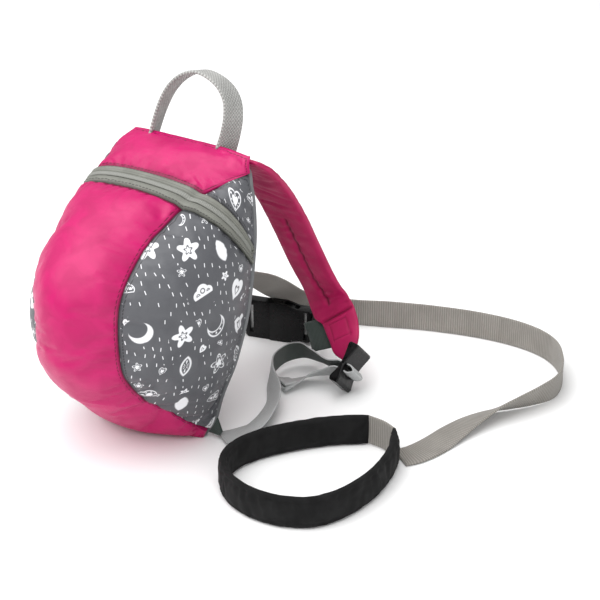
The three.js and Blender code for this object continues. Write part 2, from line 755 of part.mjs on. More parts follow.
function addWebbing() {
  const { rows, loop, tail } = webbingRows();
  const route = [...rows.map((row) => row.at), ...loop, ...tail.map((row) => row.at)];
  const sidesOf = (part) => leaningSides(part.map((row) => row.at), part.map((row) => row.lean));
  const sides = [...sidesOf(rows), ...loop.map(() => lockAcross), ...sidesOf(tail)];
  const hemShare = 1 - hemLength / new THREE.CatmullRomCurve3(route, false, 'centripetal').getLength();
  const thickness = (t) => (t > hemShare ? 3 : 1) * webbingThickness;
  const frames = stripFrames(route, sides, 72);
  const right = stripBody(frames, bandCorners, same(webbingWidth), thickness);
  addNode('strap_webbing_right', right, greyWebbing);
  addNode('strap_webbing_left', mirrorOf(right), greyWebbing);
}

// The buckle's own frame: x along the chest strap, y up, z out of its face.
const buckleMatrix = new THREE.Matrix4().makeBasis(
  new THREE.Vector3(Math.cos(buckleTurn), Math.sin(buckleTurn), 0),
  new THREE.Vector3(0, 0, 1),
  new THREE.Vector3(Math.sin(buckleTurn), -Math.cos(buckleTurn), 0),
).setPosition(new THREE.Vector3(buckleCentre.x, buckleCentre.y, buckleWidth / 2));
const mouth = maleLength - (femaleLength + maleLength) / 2;
const chestSlot = chestWidth + 2 * slotClearance;

function femaleBody() {
  const half = buckleWidth / 2;
  const neck = half - 3;
  const end = mouth + femaleLength;
  const shape = outlineShape([[mouth + gap, -half], [mouth + 14, -half], [mouth + 25, -neck], [end - 2, -neck],
    [end, -neck + 2], [end, neck - 2], [end - 2, neck], [mouth + 25, neck], [mouth + 14, half], [mouth + gap, half]]);
  let body = solid(prism(shape, buckleThickness));
  const pocket = prongLength + 2;
  body = body.subtract(solid(block(
    2 * pocket, buckleWidth - 2 * buckleWall, buckleThickness - 2 * buckleWall, [mouth, 0, 0])));
  body = body.subtract(solid(block(9, 2 * buckleWidth, buckleThickness - 2 * buckleWall, [mouth + 17, 0, 0])));
  body = body.subtract(solid(block(3, chestSlot, 2 * buckleThickness, [end - buckleBar - 1.5, 0, 0])));
  return geometryOf(body).applyMatrix4(buckleMatrix);
}

function maleBody() {
  const half = buckleWidth / 2;
  const start = mouth - maleLength;
  let body = solid(prism(outlineShape([[start, -half + 2], [start + 2, -half], [mouth, -half], [mouth, half],
    [start + 2, half], [start, half - 2]]), buckleThickness - 2));
  body = body.subtract(solid(block(3, chestSlot, 2 * buckleThickness, [start + buckleBar + 1.5, 0, 0])));
  const reach = mouth + prongLength;
  const inner = buckleThickness - 2 * buckleWall - 2 * gap;
  const outer = half - buckleWall - gap;
  for (const side of [1, -1]) {
    const prong = [[mouth - 1, outer - prongWidth], [mouth - 1, outer - 1], [mouth + 12, outer - 1],
      [mouth + 14, outer], [reach - 4, outer], [reach, outer - 3], [reach, outer - prongWidth]];
    const points = prong.map(([x, y]) => [x, y * side]);
    body = body.add(solid(prism(outlineShape(side > 0 ? points.reverse() : points), inner)));
  }
  body = body.add(solid(block(prongLength, 4, inner, [mouth + prongLength / 2 - 1, 0, 0])));
  return geometryOf(body).applyMatrix4(buckleMatrix);
}

// Each chest webbing runs from its half of the buckle to the back of a shoulder strap.
function chestFrames(side) {
  const reach = side * ((femaleLength + maleLength) / 2);
  const inBuckle = (x) => new THREE.Vector3(x, 0, 0).applyMatrix4(buckleMatrix);
  const [edge, seat] = chestSeats.map((frame) => ({
    at: mirrored(frame.at, side),
    side: mirrored(frame.side, side),
  }));
  const start = inBuckle(reach + side * gap);
  const out = inBuckle(reach + side * 8);
  const between = out.clone().lerp(edge.at, 0.55).add(new THREE.Vector3(0, 3, -2));
  const route = [start, out, between, edge.at, seat.at];
  return stripFrames(route, [upright, upright, upright, edge.side, seat.side], 16);
}

function addChestStrap() {
  addNode('buckle_female', femaleBody(), blackPlastic);
  addNode('buckle_male', maleBody(), blackPlastic);
  for (const [name, side] of [['right', 1], ['left', -1]]) {
    const body = stripBody(chestFrames(side), bandCorners, same(chestWidth), same(chestThickness));
    addNode(`chest_web_${name}`, body, darkWebbing);
  }
}

// The leash is sewn to a patch on the back panel.
function addLeash() {
  const crownAt = backPadThickness - (backPadThickness + backPadCrown);
  const patch = new THREE.BoxGeometry(patchWidth, patchHeight, patchThickness, 1, 1, 1);
  const up = bagToWorld(0, 1, 0).sub(bagToWorld(0, 0, 0));
  const across = new THREE.Vector3(1, 0, 0);
  const place = new THREE.Matrix4().makeBasis(across, up, across.clone().cross(up));
  place.setPosition(bagToWorld(0, patchShare * bagHeight, crownAt - gap - patchThickness / 2));
  addNode('leash_patch', patch.applyMatrix4(place), greyWebbing);
  const route = leashRoute.map(([x, y, z]) => new THREE.Vector3(x, y, z));
  const frames = stripFrames(route, leaningSides(route, leashRoute.map((row) => row[3])), 74);
  addNode('leash', stripBody(frames, bandCorners, same(leashWidth), same(leashThickness)), greyWebbing);
}

function addWristLoop() {
  const route = loopRoute.map(([x, y]) => new THREE.Vector3(x, y, loopWidth / 2));
  const frames = stripFrames(route, route.map(() => upright), 43);
  const pad = stripBody(frames, padCorners, same(loopWidth), same(loopThickness));
  addNode('wrist_loop_pad', pad, blackCloth);
  const [first, last] = [route[0], route[route.length - 1]];
  const way = last.clone().sub(first).normalize();
  const start = first.clone().addScaledVector(way, gap + 1.5);
  const end = last.clone().addScaledVector(way, -gap - 1.5);
  const between = [start, start.clone().lerp(end, 0.5).add(new THREE.Vector3(1, 2, 0)), end];
  const band = stripFrames(between, between.map(() => upright), 6);
  addNode('wrist_loop_web', stripBody(band, bandCorners, same(leashWidth), same(leashThickness)), greyWebbing);
}

addBackPanel();
addFrontPanel();
addSidePanels();
addTopPanel();
addZip();
addHandle();
addStraps();
addLocks();
addCornerTabs();
addWebbing();
addChestStrap();
addLeash();
addWristLoop();

export default model;
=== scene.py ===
import math
import bpy
from mathutils import Matrix, Vector, noise


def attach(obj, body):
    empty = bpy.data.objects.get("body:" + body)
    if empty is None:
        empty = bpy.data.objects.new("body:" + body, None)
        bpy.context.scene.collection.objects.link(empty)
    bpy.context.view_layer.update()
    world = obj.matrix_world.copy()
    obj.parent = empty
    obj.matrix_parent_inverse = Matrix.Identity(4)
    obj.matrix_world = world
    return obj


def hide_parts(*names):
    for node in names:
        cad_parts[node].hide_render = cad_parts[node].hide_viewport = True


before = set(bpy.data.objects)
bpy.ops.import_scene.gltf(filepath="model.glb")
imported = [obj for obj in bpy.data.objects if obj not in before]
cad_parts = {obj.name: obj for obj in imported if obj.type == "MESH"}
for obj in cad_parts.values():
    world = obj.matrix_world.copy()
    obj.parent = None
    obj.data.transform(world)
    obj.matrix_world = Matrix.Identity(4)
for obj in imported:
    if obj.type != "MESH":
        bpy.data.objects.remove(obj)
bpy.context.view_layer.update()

mm = 0.001
cm = 10.0  # in millimetres, for patterns that are drawn in centimetres
gap = 0.3  # between neighbouring pieces, in millimetres
upright = Vector((0, 0, 1))
tau = 2 * math.pi
bpy.ops.object.select_all(action="DESELECT")


# Camera, where the photograph was taken from. Lengths are in millimetres in every setting.
cameraSet = {"look": (73.4, 107.8, 82.0), "azimuth": 34.46, "elevation": 26.28, "distance": 1500.0,
             "lens": 111.24}


def addCamera(s):
    azimuth, elevation = math.radians(s["azimuth"]), math.radians(s["elevation"])
    flat = math.cos(elevation)
    away = Vector((math.sin(azimuth) * flat, -math.cos(azimuth) * flat, math.sin(elevation)))
    data = bpy.data.cameras.new("viewCamera")
    data.lens = s["lens"]
    data.sensor_width = 36
    holder = bpy.data.objects.new("viewCamera", data)
    bpy.context.scene.collection.objects.link(holder)
    holder.location = (Vector(s["look"]) + away * s["distance"]) * mm
    holder.rotation_euler = (-away).to_track_quat("-Z", "Y").to_euler()
    bpy.context.scene.camera = holder


addCamera(cameraSet)
print("camera done")


# Numbers and curves
def mix(a, b, share):
    return a + (b - a) * share


def clamp(value, low=0.0, high=1.0):
    return max(low, min(high, value))


def smoothStep(value, low, high):
    t = clamp((value - low) / (high - low))
    return t * t * (3 - 2 * t)


def bump(value, middle, width):
    return math.exp(-(((value - middle) / width) ** 2))


def column(rows, key, value):  # a smooth curve through one column of a table
    x = [row[key] for row in rows]
    y = [row[value] for row in rows]
    rise = [(y[i + 1] - y[i]) / (x[i + 1] - x[i]) for i in range(len(x) - 1)]
    slope = [rise[0]]
    for before, after in zip(rise, rise[1:]):
        slope.append(2 * before * after / (before + after) if before * after > 0 else 0.0)
    slope.append(rise[-1])

    def at(place):
        i = 0
        while i < len(x) - 2 and place > x[i + 1]:
            i += 1
        span = x[i + 1] - x[i]
        t = (place - x[i]) / span
        start = (1 + 2 * t) * (1 - t) ** 2 * y[i] + t * (1 - t) ** 2 * span * slope[i]
        return start + t * t * (3 - 2 * t) * y[i + 1] + t * t * (t - 1) * span * slope[i + 1]

    return at


def curveThrough(points):
    last = len(points) - 1

    def at(share):
        place = last * clamp(share)
        i = min(int(place), last - 1)
        weight = place - i
        b, c = points[i], points[i + 1]
        a = points[i - 1] if i > 0 else b * 2 - c
        d = points[i + 2] if i + 2 <= last else c * 2 - b
        steps = [max((q - p).length_squared ** 0.25, 0.0) for p, q in ((a, b), (b, c), (c, d))]
        middle = steps[1] if steps[1] > 1e-4 else 1.0
        first = steps[0] if steps[0] > 1e-4 else middle
        final = steps[2] if steps[2] > 1e-4 else middle
        t1 = ((b - a) / first - (c - a) / (first + middle) + (c - b) / middle) * middle
        t2 = ((c - b) / middle - (d - b) / (middle + final) + (d - c) / final) * middle
        squared, cubed = c * 3 - b * 3 - t1 * 2 - t2, b * 2 - c * 2 + t1 + t2
        return b + t1 * weight + squared * weight**2 + cubed * weight**3

    return at


def tangentOf(curve, share):
    return (curve(share + 0.0001) - curve(share - 0.0001)).normalized()


# A strip's frames: where it is, the way across it, the way out of its face, and its share.
def stripFrames(route, sides, steps):
    path, across = curveThrough(route), curveThrough(sides)
    frames = []
    for i in range(steps + 1):
        t = i / steps
        tangent = tangentOf(path, t)
        side = across(t)
        side = (side - tangent * side.dot(tangent)).normalized()
        frames.append((path(t), side, tangent.cross(side), t))
    return frames


def leaningSides(route, leans):
    path = curveThrough(route)
    sides = []
    for i, lean in enumerate(leans):
        level = tangentOf(path, i / (len(route) - 1)).cross(upright).normalized()
        angle = math.radians(lean)
        sides.append(upright * math.cos(angle) + level * math.sin(angle))
    return sides


def mirrored(point, side):
    return Vector((point.x * side, point.y, point.z))


# Meshes. Points come in millimetres.
def makePiece(name, points, faces, material, nodes=(), uvs=None, marks=None, side=1, rims=None):
    mesh = bpy.data.meshes.new(name)
    if side < 0:
        points = [mirrored(p, -1) for p in points]
        faces = [tuple(reversed(face)) for face in faces]
    mesh.from_pydata([p * mm for p in points], [], faces)
    if uvs:
        layer = mesh.uv_layers.new(name="clothUv")
        flat = [value for loop in mesh.loops for value in uvs[loop.vertex_index]]
        layer.data.foreach_set("uv", flat)
    # marks become the seam attribute: where painted shade darkens a piece, and a few stitch rows
    if marks:
        attribute = mesh.attributes.new("seam", "FLOAT", "POINT")
        attribute.data.foreach_set("value", marks)
    if rims:
        attribute = mesh.attributes.new("rim", "FLOAT", "POINT")
        attribute.data.foreach_set("value", rims)
    mesh.validate()
    mesh.materials.append(material)
    piece = bpy.data.objects.new(name, mesh)
    bpy.context.scene.collection.objects.link(piece)
    settle(piece, nodes)
    return piece


def settle(piece, nodes=()):
    for polygon in piece.data.polygons:
        polygon.use_smooth = True
    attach(piece, "root")
    if nodes:
        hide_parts(*nodes)


def smoothByAngle(piece, degrees):
    bpy.ops.object.select_all(action="DESELECT")
    piece.select_set(True)
    bpy.context.view_layer.objects.active = piece
    bpy.ops.object.shade_smooth_by_angle(angle=math.radians(degrees))
    piece.select_set(False)


# A closed body lofted through rings, each a list of (point, across in mm), with flat ends.
def loftPiece(name, rings, alongs, material, nodes=(), side=1, marks=None):
    count = len(rings[0])
    points = [point for ring in rings for point, _ in ring]
    uvs = [(across / cm, along / cm) for ring, along in zip(rings, alongs) for _, across in ring]
    faces = []
    for i in range(len(rings) - 1):
        for j in range(count):
            a, b = i * count + j, i * count + (j + 1) % count
            faces.append((a, b, b + count, a + count))
    last = (len(rings) - 1) * count
    faces.append(tuple(reversed(range(count))))
    faces.append(tuple(range(last, last + count)))
    if volumeOf(points, faces) < 0:
        faces = [tuple(reversed(face)) for face in faces]
    return makePiece(name, points, faces, material, nodes, uvs, marks, side)


def volumeOf(points, faces):
    total = 0.0
    for face in faces:
        for k in range(1, len(face) - 1):
            total += points[face[0]].dot(points[face[k]].cross(points[face[k + 1]]))
    return total


def lengthsAlong(frames):
    total, out = 0.0, [0.0]
    for before, after in zip(frames, frames[1:]):
        total += (after[0] - before[0]).length
        out.append(total)
    return out


# Webbing is a flat band with round edges. Its inner face is marked along most of its length, for a painted
# shade on that face.
shadedInnerUntil = 0.7


def bandSection(width, thickness, steps=6):
    radius = thickness / 2
    flat = width / 2 - radius
    ring = []
    for side in (1, -1):
        for i in range(steps + 1):
            angle = math.pi * (i / steps - side / 2)
            ring.append((side * flat + radius * math.cos(angle), radius * math.sin(angle)))
        ring += [(side * mix(flat, -flat, k / steps), side * radius) for k in range(1, steps)]
    return ring


def bandPiece(name, frames, s, material, node=None, side=1, thicken=None):
    alongs = lengthsAlong(frames)
    rings, faces = [], []
    for (at, across, out, t), along in zip(frames, alongs):
        thick = s["thickness"] * (thicken(along, alongs[-1]) if thicken else 1)
        section = bandSection(s["width"], thick)
        rings.append([(at + across * u + out * v, u) for u, v in section])
        # the mark is 1 on the inner face over the first share of the band: painted shade on its underside
        # face
        faces += [1.0 if v > thick * 0.3 and t < shadedInnerUntil else 0.0 for _, v in section]
    return loftPiece(name, rings, alongs, material, [node] if node else (), side, faces)


# The section of something padded: across and out, as shares of its width and thickness.
def padSection(sides, power):
    face = []
    for i in range(sides + 1):
        u = -math.cos(math.pi * i / sides)
        face.append((u / 2, (1 - abs(u) ** power) ** (1 / power) / 2))
    return face + [(u, -v) for u, v in reversed(face[1:-1])]


# Node helpers
def srgb(red, green, blue):
    shares = [value / 255 for value in (red, green, blue)]
    linear = [share / 12.92 if share <= 0.04045 else ((share + 0.055) / 1.055) ** 2.4 for share in shares]
    return (*linear, 1.0)


def darker(colour, share):
    return (*(value * share for value in colour[:3]), 1.0)


# A socket that is added, multiplied or compared like a number. Each step adds a Math node to its tree.
class Value:
    def __init__(self, tree, socket):
        self.tree = tree
        self.socket = socket

    def __add__(self, other):
        return maths(self.tree, "ADD", self, other)

    def __sub__(self, other):
        return maths(self.tree, "SUBTRACT", self, other)

    def __rsub__(self, other):
        return maths(self.tree, "SUBTRACT", other, self)

    def __mul__(self, other):
        return maths(self.tree, "MULTIPLY", self, other)

    def __truediv__(self, other):
        return maths(self.tree, "DIVIDE", self, other)

    def __gt__(self, other):
        return maths(self.tree, "GREATER_THAN", self, other)

    def __lt__(self, other):
        return maths(self.tree, "LESS_THAN", self, other)

    def apply(self, operation, other=None):
        return maths(self.tree, operation, self, other)


def larger(a, b):
    return a.apply("MAXIMUM", b)


def addNode(tree, kind, links=None, **settings):
    node = tree.nodes.new(kind)
    for key, value in settings.items():
        setattr(node, key, value)
    for key, value in (links or {}).items():
        plug(tree, node.inputs[key], value)
    return node


def plug(tree, socket, value):
    if isinstance(value, Value):
        value = value.socket
    if isinstance(value, bpy.types.NodeSocket):
        tree.links.new(value, socket)
    elif value is not None:
        socket.default_value = value


def maths(tree, operation, a, b=None):
    node = addNode(tree, "ShaderNodeMath", {0: a, 1: b}, operation=operation)
    return Value(tree, node.outputs[0])


def ramp(value, low, high, fromValue=0.0, toValue=1.0):
    node = addNode(value.tree, "ShaderNodeMapRange", {
        "Value": value, "From Min": low, "From Max": high, "To Min": fromValue, "To Max": toValue,
    }, interpolation_type="SMOOTHSTEP")
    return Value(value.tree, node.outputs[0])


def noiseOf(tree, place, scale, detail, distortion=0.0):
    node = addNode(tree, "ShaderNodeTexNoise", {
        "Vector": place, "Scale": scale, "Detail": detail, "Distortion": distortion,
    })
    return Value(tree, node.outputs[0])


def acrossAndUp(tree, place):
    parts = addNode(tree, "ShaderNodeSeparateXYZ", {0: place}).outputs
    return Value(tree, parts[0]), Value(tree, parts[1])


def markOf(tree, name):
    mark = addNode(tree, "ShaderNodeAttribute", attribute_name=name, attribute_type="GEOMETRY")
    return Value(tree, mark.outputs["Fac"])


def blendColours(share, first, second):
    node = addNode(share.tree, "ShaderNodeMix", data_type="RGBA")
    plug(share.tree, node.inputs["Factor"], share)
    plug(share.tree, node.inputs[6], first)
    plug(share.tree, node.inputs[7], second)
    return node.outputs[2]


def newGroup(name, inputs, outputs):
    tree = bpy.data.node_groups.new(name, "ShaderNodeTree")
    for socketName, kind, value in inputs:
        socket = tree.interface.new_socket(socketName, in_out="INPUT", socket_type=kind)
        if value is not None:
            socket.default_value = value
    for socketName in outputs:
        tree.interface.new_socket(socketName, in_out="OUTPUT", socket_type=floatSocket)
    return tree, tree.nodes.new("NodeGroupInput").outputs, tree.nodes.new("NodeGroupOutput").inputs


def useGroup(tree, group, links):
    node = addNode(tree, "ShaderNodeGroup", node_tree=group)
    for key, value in links.items():
        plug(tree, node.inputs[key], value)
    return {output.name: Value(tree, output) for output in node.outputs}


floatSocket, vectorSocket = "NodeSocketFloat", "NodeSocketVector"


# Woven cloth seen close: crossing threads, from a place in centimetres on the cloth.
def makeWeaveGroup():
    tree, given, out = newGroup("wovenThreads", [
        ("Place", vectorSocket, None), ("Threads per cm", floatSocket, 24.0), ("Rib", floatSocket, 0.0),
    ], ["Height", "Shade"])
    turns = Value(tree, given["Threads per cm"]) * tau
    across, along = [(part * turns).apply("SINE") for part in acrossAndUp(tree, given["Place"])]
    height = addNode(tree, "ShaderNodeMix", data_type="FLOAT")
    plug(tree, height.inputs[0], given["Rib"])
    plug(tree, height.inputs[2], across * along * 0.5 + 0.5)
    plug(tree, height.inputs[3], along * 0.5 + 0.5)
    uneven = noiseOf(tree, given["Place"], 3.0, 3.0)
    plug(tree, out["Height"], height.outputs[0])
    plug(tree, out["Shade"], ramp(uneven, 0.3, 0.7, 0.8, 1.0) * height.outputs[0])
    return tree


# Soft creases and slack in cloth, from a place in metres.
creaseSet = {"broadDetail": 3.0, "distortion": 0.6, "fineScale": 420.0, "fineDetail": 2.0, "fineShare": 0.12}


def makeCreaseGroup(s):
    tree, given, out = newGroup("softCreases", [
        ("Place", vectorSocket, None), ("Size", floatSocket, 60.0),
    ], ["Height", "Tone"])
    broad = noiseOf(tree, given["Place"], given["Size"], s["broadDetail"], s["distortion"])
    fine = noiseOf(tree, given["Place"], s["fineScale"], s["fineDetail"])
    plug(tree, out["Height"], fine * s["fineShare"] + broad)
    plug(tree, out["Tone"], ramp(broad, 0.25, 0.75))
    return tree


# A row of dashes at one distance from the panel's rim, in millimetres.
stitchSet = {"inset": 3.0, "half": 0.6, "perCm": 3.0, "dash": 0.7}


def makeStitchGroup(s):
    tree, given, out = newGroup("topStitch", [
        ("Place", vectorSocket, None), ("Rim", floatSocket, 0.0),
    ], ["Stitch"])
    off = (Value(tree, given["Rim"]) - s["inset"]).apply("ABSOLUTE")
    line = ramp(off, s["half"] * 0.6, s["half"], 1.0, 0.0)
    across, up = acrossAndUp(tree, given["Place"])
    dash = ((across + up) * s["perCm"]).apply("FRACT") < s["dash"]
    plug(tree, out["Stitch"], line * dash)
    return tree


# The print: small white drawings, each in its own cell, with short strokes between them. Its lengths are
# centimetres on the cloth, and those of a drawing are shares of its radius.
printSet = {"cell": 3.0, "radius": 0.88, "filled": 0.86, "smallCell": 1.8, "smallRadius": 0.36,
            "smallFilled": 0.55, "strokeCell": 0.66, "strokeLong": 0.12, "strokeWide": 0.03,
            "strokeFilled": 0.72, "clear": 1.5, "strokeClear": 1.25, "lined": 0.4, "white": 0.92}
cloudPuffs = [(-0.5, -0.12, 0.42), (0.5, -0.1, 0.46), (0, 0.12, 0.56)]


def makePrintGroup(s):
    tree, given, out = newGroup("whitePrint", [("Place", vectorSocket, None)], ["White"])

    def cells(size, seed):  # brick-like cells, each with its own random numbers
        scaled = addNode(tree, "ShaderNodeVectorMath", {0: given["Place"]}, operation="SCALE")
        scaled.inputs["Scale"].default_value = 1 / size
        offset = (seed, seed * 0.37, 0)
        moved = addNode(tree, "ShaderNodeVectorMath", {0: scaled.outputs[0], 1: offset}, operation="ADD")
        x, y = acrossAndUp(tree, moved.outputs[0])
        row = y.apply("FLOOR")
        x = row.apply("MODULO", 2.0) * 0.5 + x
        place = x.apply("FLOOR")
        whole = addNode(tree, "ShaderNodeCombineXYZ", {0: place, 1: row, 2: seed}).outputs[0]
        dice = addNode(tree, "ShaderNodeTexWhiteNoise", {"Vector": whole}, noise_dimensions="3D").outputs
        parts = addNode(tree, "ShaderNodeSeparateColor", {0: dice["Color"]}).outputs
        chances = [Value(tree, part) for part in parts]
        x = x - place - ramp(chances[0], 0, 1, 0.4, 0.6)
        y = y - row - ramp(chances[1], 0, 1, 0.4, 0.6)
        return x * size, y * size, Value(tree, dice["Value"]), chances

    def turned(x, y, angle):
        c, n = angle.apply("COSINE"), angle.apply("SINE")
        return x * c + y * n, y * c - x * n

    def far(x, y, cx=0.0, cy=0.0):
        return ((x - cx).apply("POWER", 2.0) + (y - cy).apply("POWER", 2.0)).apply("SQRT")

    def inside(value, edge, soft=0.06):
        return ramp(value, edge - soft, edge + soft, 1.0, 0.0)

    def without(a, b):
        return a * (1.0 - b)

    def shapesAt(x, y):  # each is a measure that is 1 on the drawing's outline
        distance = far(x, y)
        angle = x.apply("ARCTAN2", y)
        fifth = angle.apply("PINGPONG", tau / 10)
        star = distance / ramp(fifth, 0.0, tau / 10, 1.0, 0.5)
        heart = far(x, y - x.apply("ABSOLUTE").apply("SQRT") * 0.62, 0.0, -0.15) / 0.78
        moon = larger(distance / 0.95, 2.0 - far(x, y, 0.42, 0.16) / 0.78)
        flower = distance / ((angle * 5.0).apply("COSINE") * 0.22 + 0.76)
        puffs = [far(x, y, cx, cy) / wide for cx, cy, wide in cloudPuffs]
        cloud = puffs[0].apply("MINIMUM", puffs[1]).apply("MINIMUM", puffs[2])
        cloud = larger(cloud, 0.1 - y * 2.5)
        leaf = far(x.apply("ABSOLUTE"), y, -0.62, 0.0) / 1.12
        return [star, heart, moon, flower, cloud, leaf], distance, angle

    # A drawing is filled in round a core, or is a line with rays round a core.
    def drawings(size, radius, seed, filledShare):
        x, y, pick, chances = cells(size, seed)
        x, y = turned(x, y, ramp(chances[2], 0, 1, -0.5, 0.5))
        shapes, distance, angle = shapesAt(x / radius, y / radius)
        dots = inside((angle * (8 / tau)).apply("PINGPONG", 0.5), 0.16, 0.05)
        isLined = chances[1] > s["lined"]
        isFilled = chances[1] < s["lined"]
        drawn = None
        for i, shape in enumerate(shapes):
            low, high = filledShare * i / len(shapes), filledShare * (i + 1) / len(shapes)
            chosen = (pick > low) * (pick < high)
            line = without(inside(shape, 1.0), inside(shape, 0.86))
            core = inside(shape, 0.46, 0.08)
            rays = without(inside(shape, 0.76, 0.03), inside(shape, 0.6, 0.03)) * dots
            filled = without(inside(shape, 1.0), without(inside(shape, 0.42), inside(shape, 0.26)))
            part = (larger(line, larger(core, rays)) * isLined + filled * isFilled) * chosen
            drawn = larger(drawn, part) if drawn else part
        return drawn, (pick > filledShare) * 9.0 + distance

    large, fromLarge = drawings(s["cell"], s["radius"], 3.0, s["filled"])
    small, fromSmall = drawings(s["smallCell"], s["smallRadius"], 7.0, s["smallFilled"])
    drawn = larger(large, small * (fromLarge > s["clear"]))
    x, y, pick, chances = cells(s["strokeCell"], 11.0)
    x, y = turned(x, y, ramp(chances[2], 0, 1, -0.55, -0.15))
    past = larger(y.apply("ABSOLUTE") - s["strokeLong"], 0.0)
    stroke = inside(far(x, past), s["strokeWide"], 0.012) * (pick < s["strokeFilled"])
    stroke = stroke * (fromLarge > s["strokeClear"]) * (fromSmall > s["clear"])
    plug(tree, out["White"], larger(drawn, stroke))
    return tree


weaveGroup = makeWeaveGroup()
creaseGroup = makeCreaseGroup(creaseSet)
stitchGroup = makeStitchGroup(stitchSet)
printGroup = makePrintGroup(printSet)


def startMaterial(name):
    material = bpy.data.materials.new(name)
    material.use_nodes = True
    tree = material.node_tree
    return material, tree, tree.nodes["Principled BSDF"]


def setShader(shader, values):
    for name, value in values.items():
        plug(shader.id_data, shader.inputs[name], value)


def raiseSurface(shader, height, strength, distance):
    tree = shader.id_data
    raised = addNode(tree, "ShaderNodeBump", {"Height": height, "Strength": strength, "Distance": distance})
    plug(tree, shader.inputs["Normal"], raised.outputs[0])


# Nylon cloth: two tones of one colour, darker in its seams as painted shade.
clothLook = {"creaseSize": 55.0, "creaseTone": 0.35, "weaveTone": 0.12, "stitchTone": 0.8, "seamShadeShare": 0.75,
             "sheenRough": 0.45, "specular": 0.35, "weaveHigh": 0.04, "creaseHigh": 0.8, "stitchHigh": -0.25,
             "strength": 0.25, "distance": 0.0022, "stitchDark": 0.4, "seamShadeFactor": 0.35}


def clothMaterial(name, colour, deep, rough=0.55, sheen=0.25, threads=22.0, printed=None):
    look = clothLook
    material, tree, shader = startMaterial(name)
    texture = addNode(tree, "ShaderNodeTexCoord").outputs
    crease = useGroup(tree, creaseGroup, {"Place": texture["Object"], "Size": look["creaseSize"]})
    weave = useGroup(tree, weaveGroup, {"Place": texture["UV"], "Threads per cm": threads})
    stitch = useGroup(tree, stitchGroup, {"Place": texture["UV"], "Rim": markOf(tree, "rim")})["Stitch"]
    # painted shade: the seam mark darkens the cloth in its seam and zip grooves; on the zip band and straps
    # it also draws stitch rows
    seam = ramp(markOf(tree, "seam"), 0.0, 1.0)
    tone = blendColours(crease["Tone"] * look["creaseTone"], colour, deep)
    tone = blendColours(weave["Shade"] * look["weaveTone"], tone, deep)
    if printed:
        tone = printed(tree, texture["UV"], tone)
    tone = blendColours(stitch * look["stitchTone"], tone, darker(deep, look["stitchDark"]))
    tone = blendColours(seam * look["seamShadeShare"], tone, darker(deep, look["seamShadeFactor"]))
    setShader(shader, {
        "Base Color": tone, "Roughness": ramp(crease["Tone"], 0.0, 1.0, rough - 0.06, rough + 0.08),
        "Sheen Weight": sheen, "Sheen Tint": colour, "Sheen Roughness": look["sheenRough"],
        "Specular IOR Level": look["specular"],
    })
    height = weave["Height"] * look["weaveHigh"] + crease["Height"] * look["creaseHigh"]
    raiseSurface(shader, stitch * look["stitchHigh"] + height, look["strength"], look["distance"])
    return material


# Ribbed webbing: threads across the band, whose place is on its own map. Its seam mark is its inner face,
# which takes a darker inner colour as painted shade.
webbingLook = {"creaseSize": 45.0, "creaseTone": 0.25, "grooveShade": 0.6, "innerGrooveShade": 0.5, "sheen": 0.15,
               "specular": 0.3, "roughLow": 0.82, "roughHigh": 0.67, "distance": 0.0005}


def webbingMaterial(name, colour, deep, ribs=9.0, depth=0.8, inner=None, ribbed=0.75):
    look = webbingLook
    material, tree, shader = startMaterial(name)
    texture = addNode(tree, "ShaderNodeTexCoord").outputs
    rib = useGroup(tree, weaveGroup, {"Place": texture["UV"], "Threads per cm": ribs, "Rib": ribbed})
    crease = useGroup(tree, creaseGroup, {"Place": texture["Object"], "Size": look["creaseSize"]})
    # painted shade: the colour goes darker in the grooves between the ribs, with some random unevenness
    tone = blendColours((1.0 - rib["Shade"]) * look["grooveShade"], colour, deep)
    tone = blendColours(crease["Tone"] * look["creaseTone"], tone, deep)
    # painted shade: the marked inner face takes the darker inner colour, darker again in its rib grooves
    if inner:
        shaded = blendColours((1.0 - rib["Shade"]) * look["innerGrooveShade"], inner, darker(inner, 0.5))
        tone = blendColours(ramp(markOf(tree, "seam"), 0.0, 1.0), tone, shaded)
    setShader(shader, {
        "Base Color": tone, "Roughness": ramp(rib["Height"], 0.0, 1.0, look["roughLow"], look["roughHigh"]),
        "Sheen Weight": look["sheen"], "Specular IOR Level": look["specular"],
    })
    raiseSurface(shader, rib["Height"], depth, look["distance"])
    return material


plasticLook = {"creaseSize": 160.0, "lighter": 0.2, "lighterShare": 0.015, "specular": 0.16, "coat": 0.14,
               "coatRough": 0.12, "grain": 900.0, "strength": 0.05, "distance": 0.0002}


def plasticMaterial(name, colour, rough):
    look = plasticLook
    material, tree, shader = startMaterial(name)
    place = addNode(tree, "ShaderNodeTexCoord").outputs["Object"]
    crease = useGroup(tree, creaseGroup, {"Place": place, "Size": look["creaseSize"]})
    lighter = (*(mix(value, look["lighter"], look["lighterShare"]) for value in colour[:3]), 1.0)
    setShader(shader, {
        "Base Color": blendColours(crease["Tone"] * 0.5, colour, lighter),
        "Roughness": ramp(crease["Tone"], 0.0, 1.0, rough - 0.06, rough + 0.12),
        "Specular IOR Level": look["specular"],
        "Coat Weight": look["coat"], "Coat Roughness": look["coatRough"],
    })
    raiseSurface(shader, noiseOf(tree, place, look["grain"], 2.0), look["strength"], look["distance"])
    return material


def withPrint(tree, place, tone):
    white = useGroup(tree, printGroup, {"Place": place})["White"]
    return blendColours(white * printSet["white"], tone, srgb(238, 239, 242))


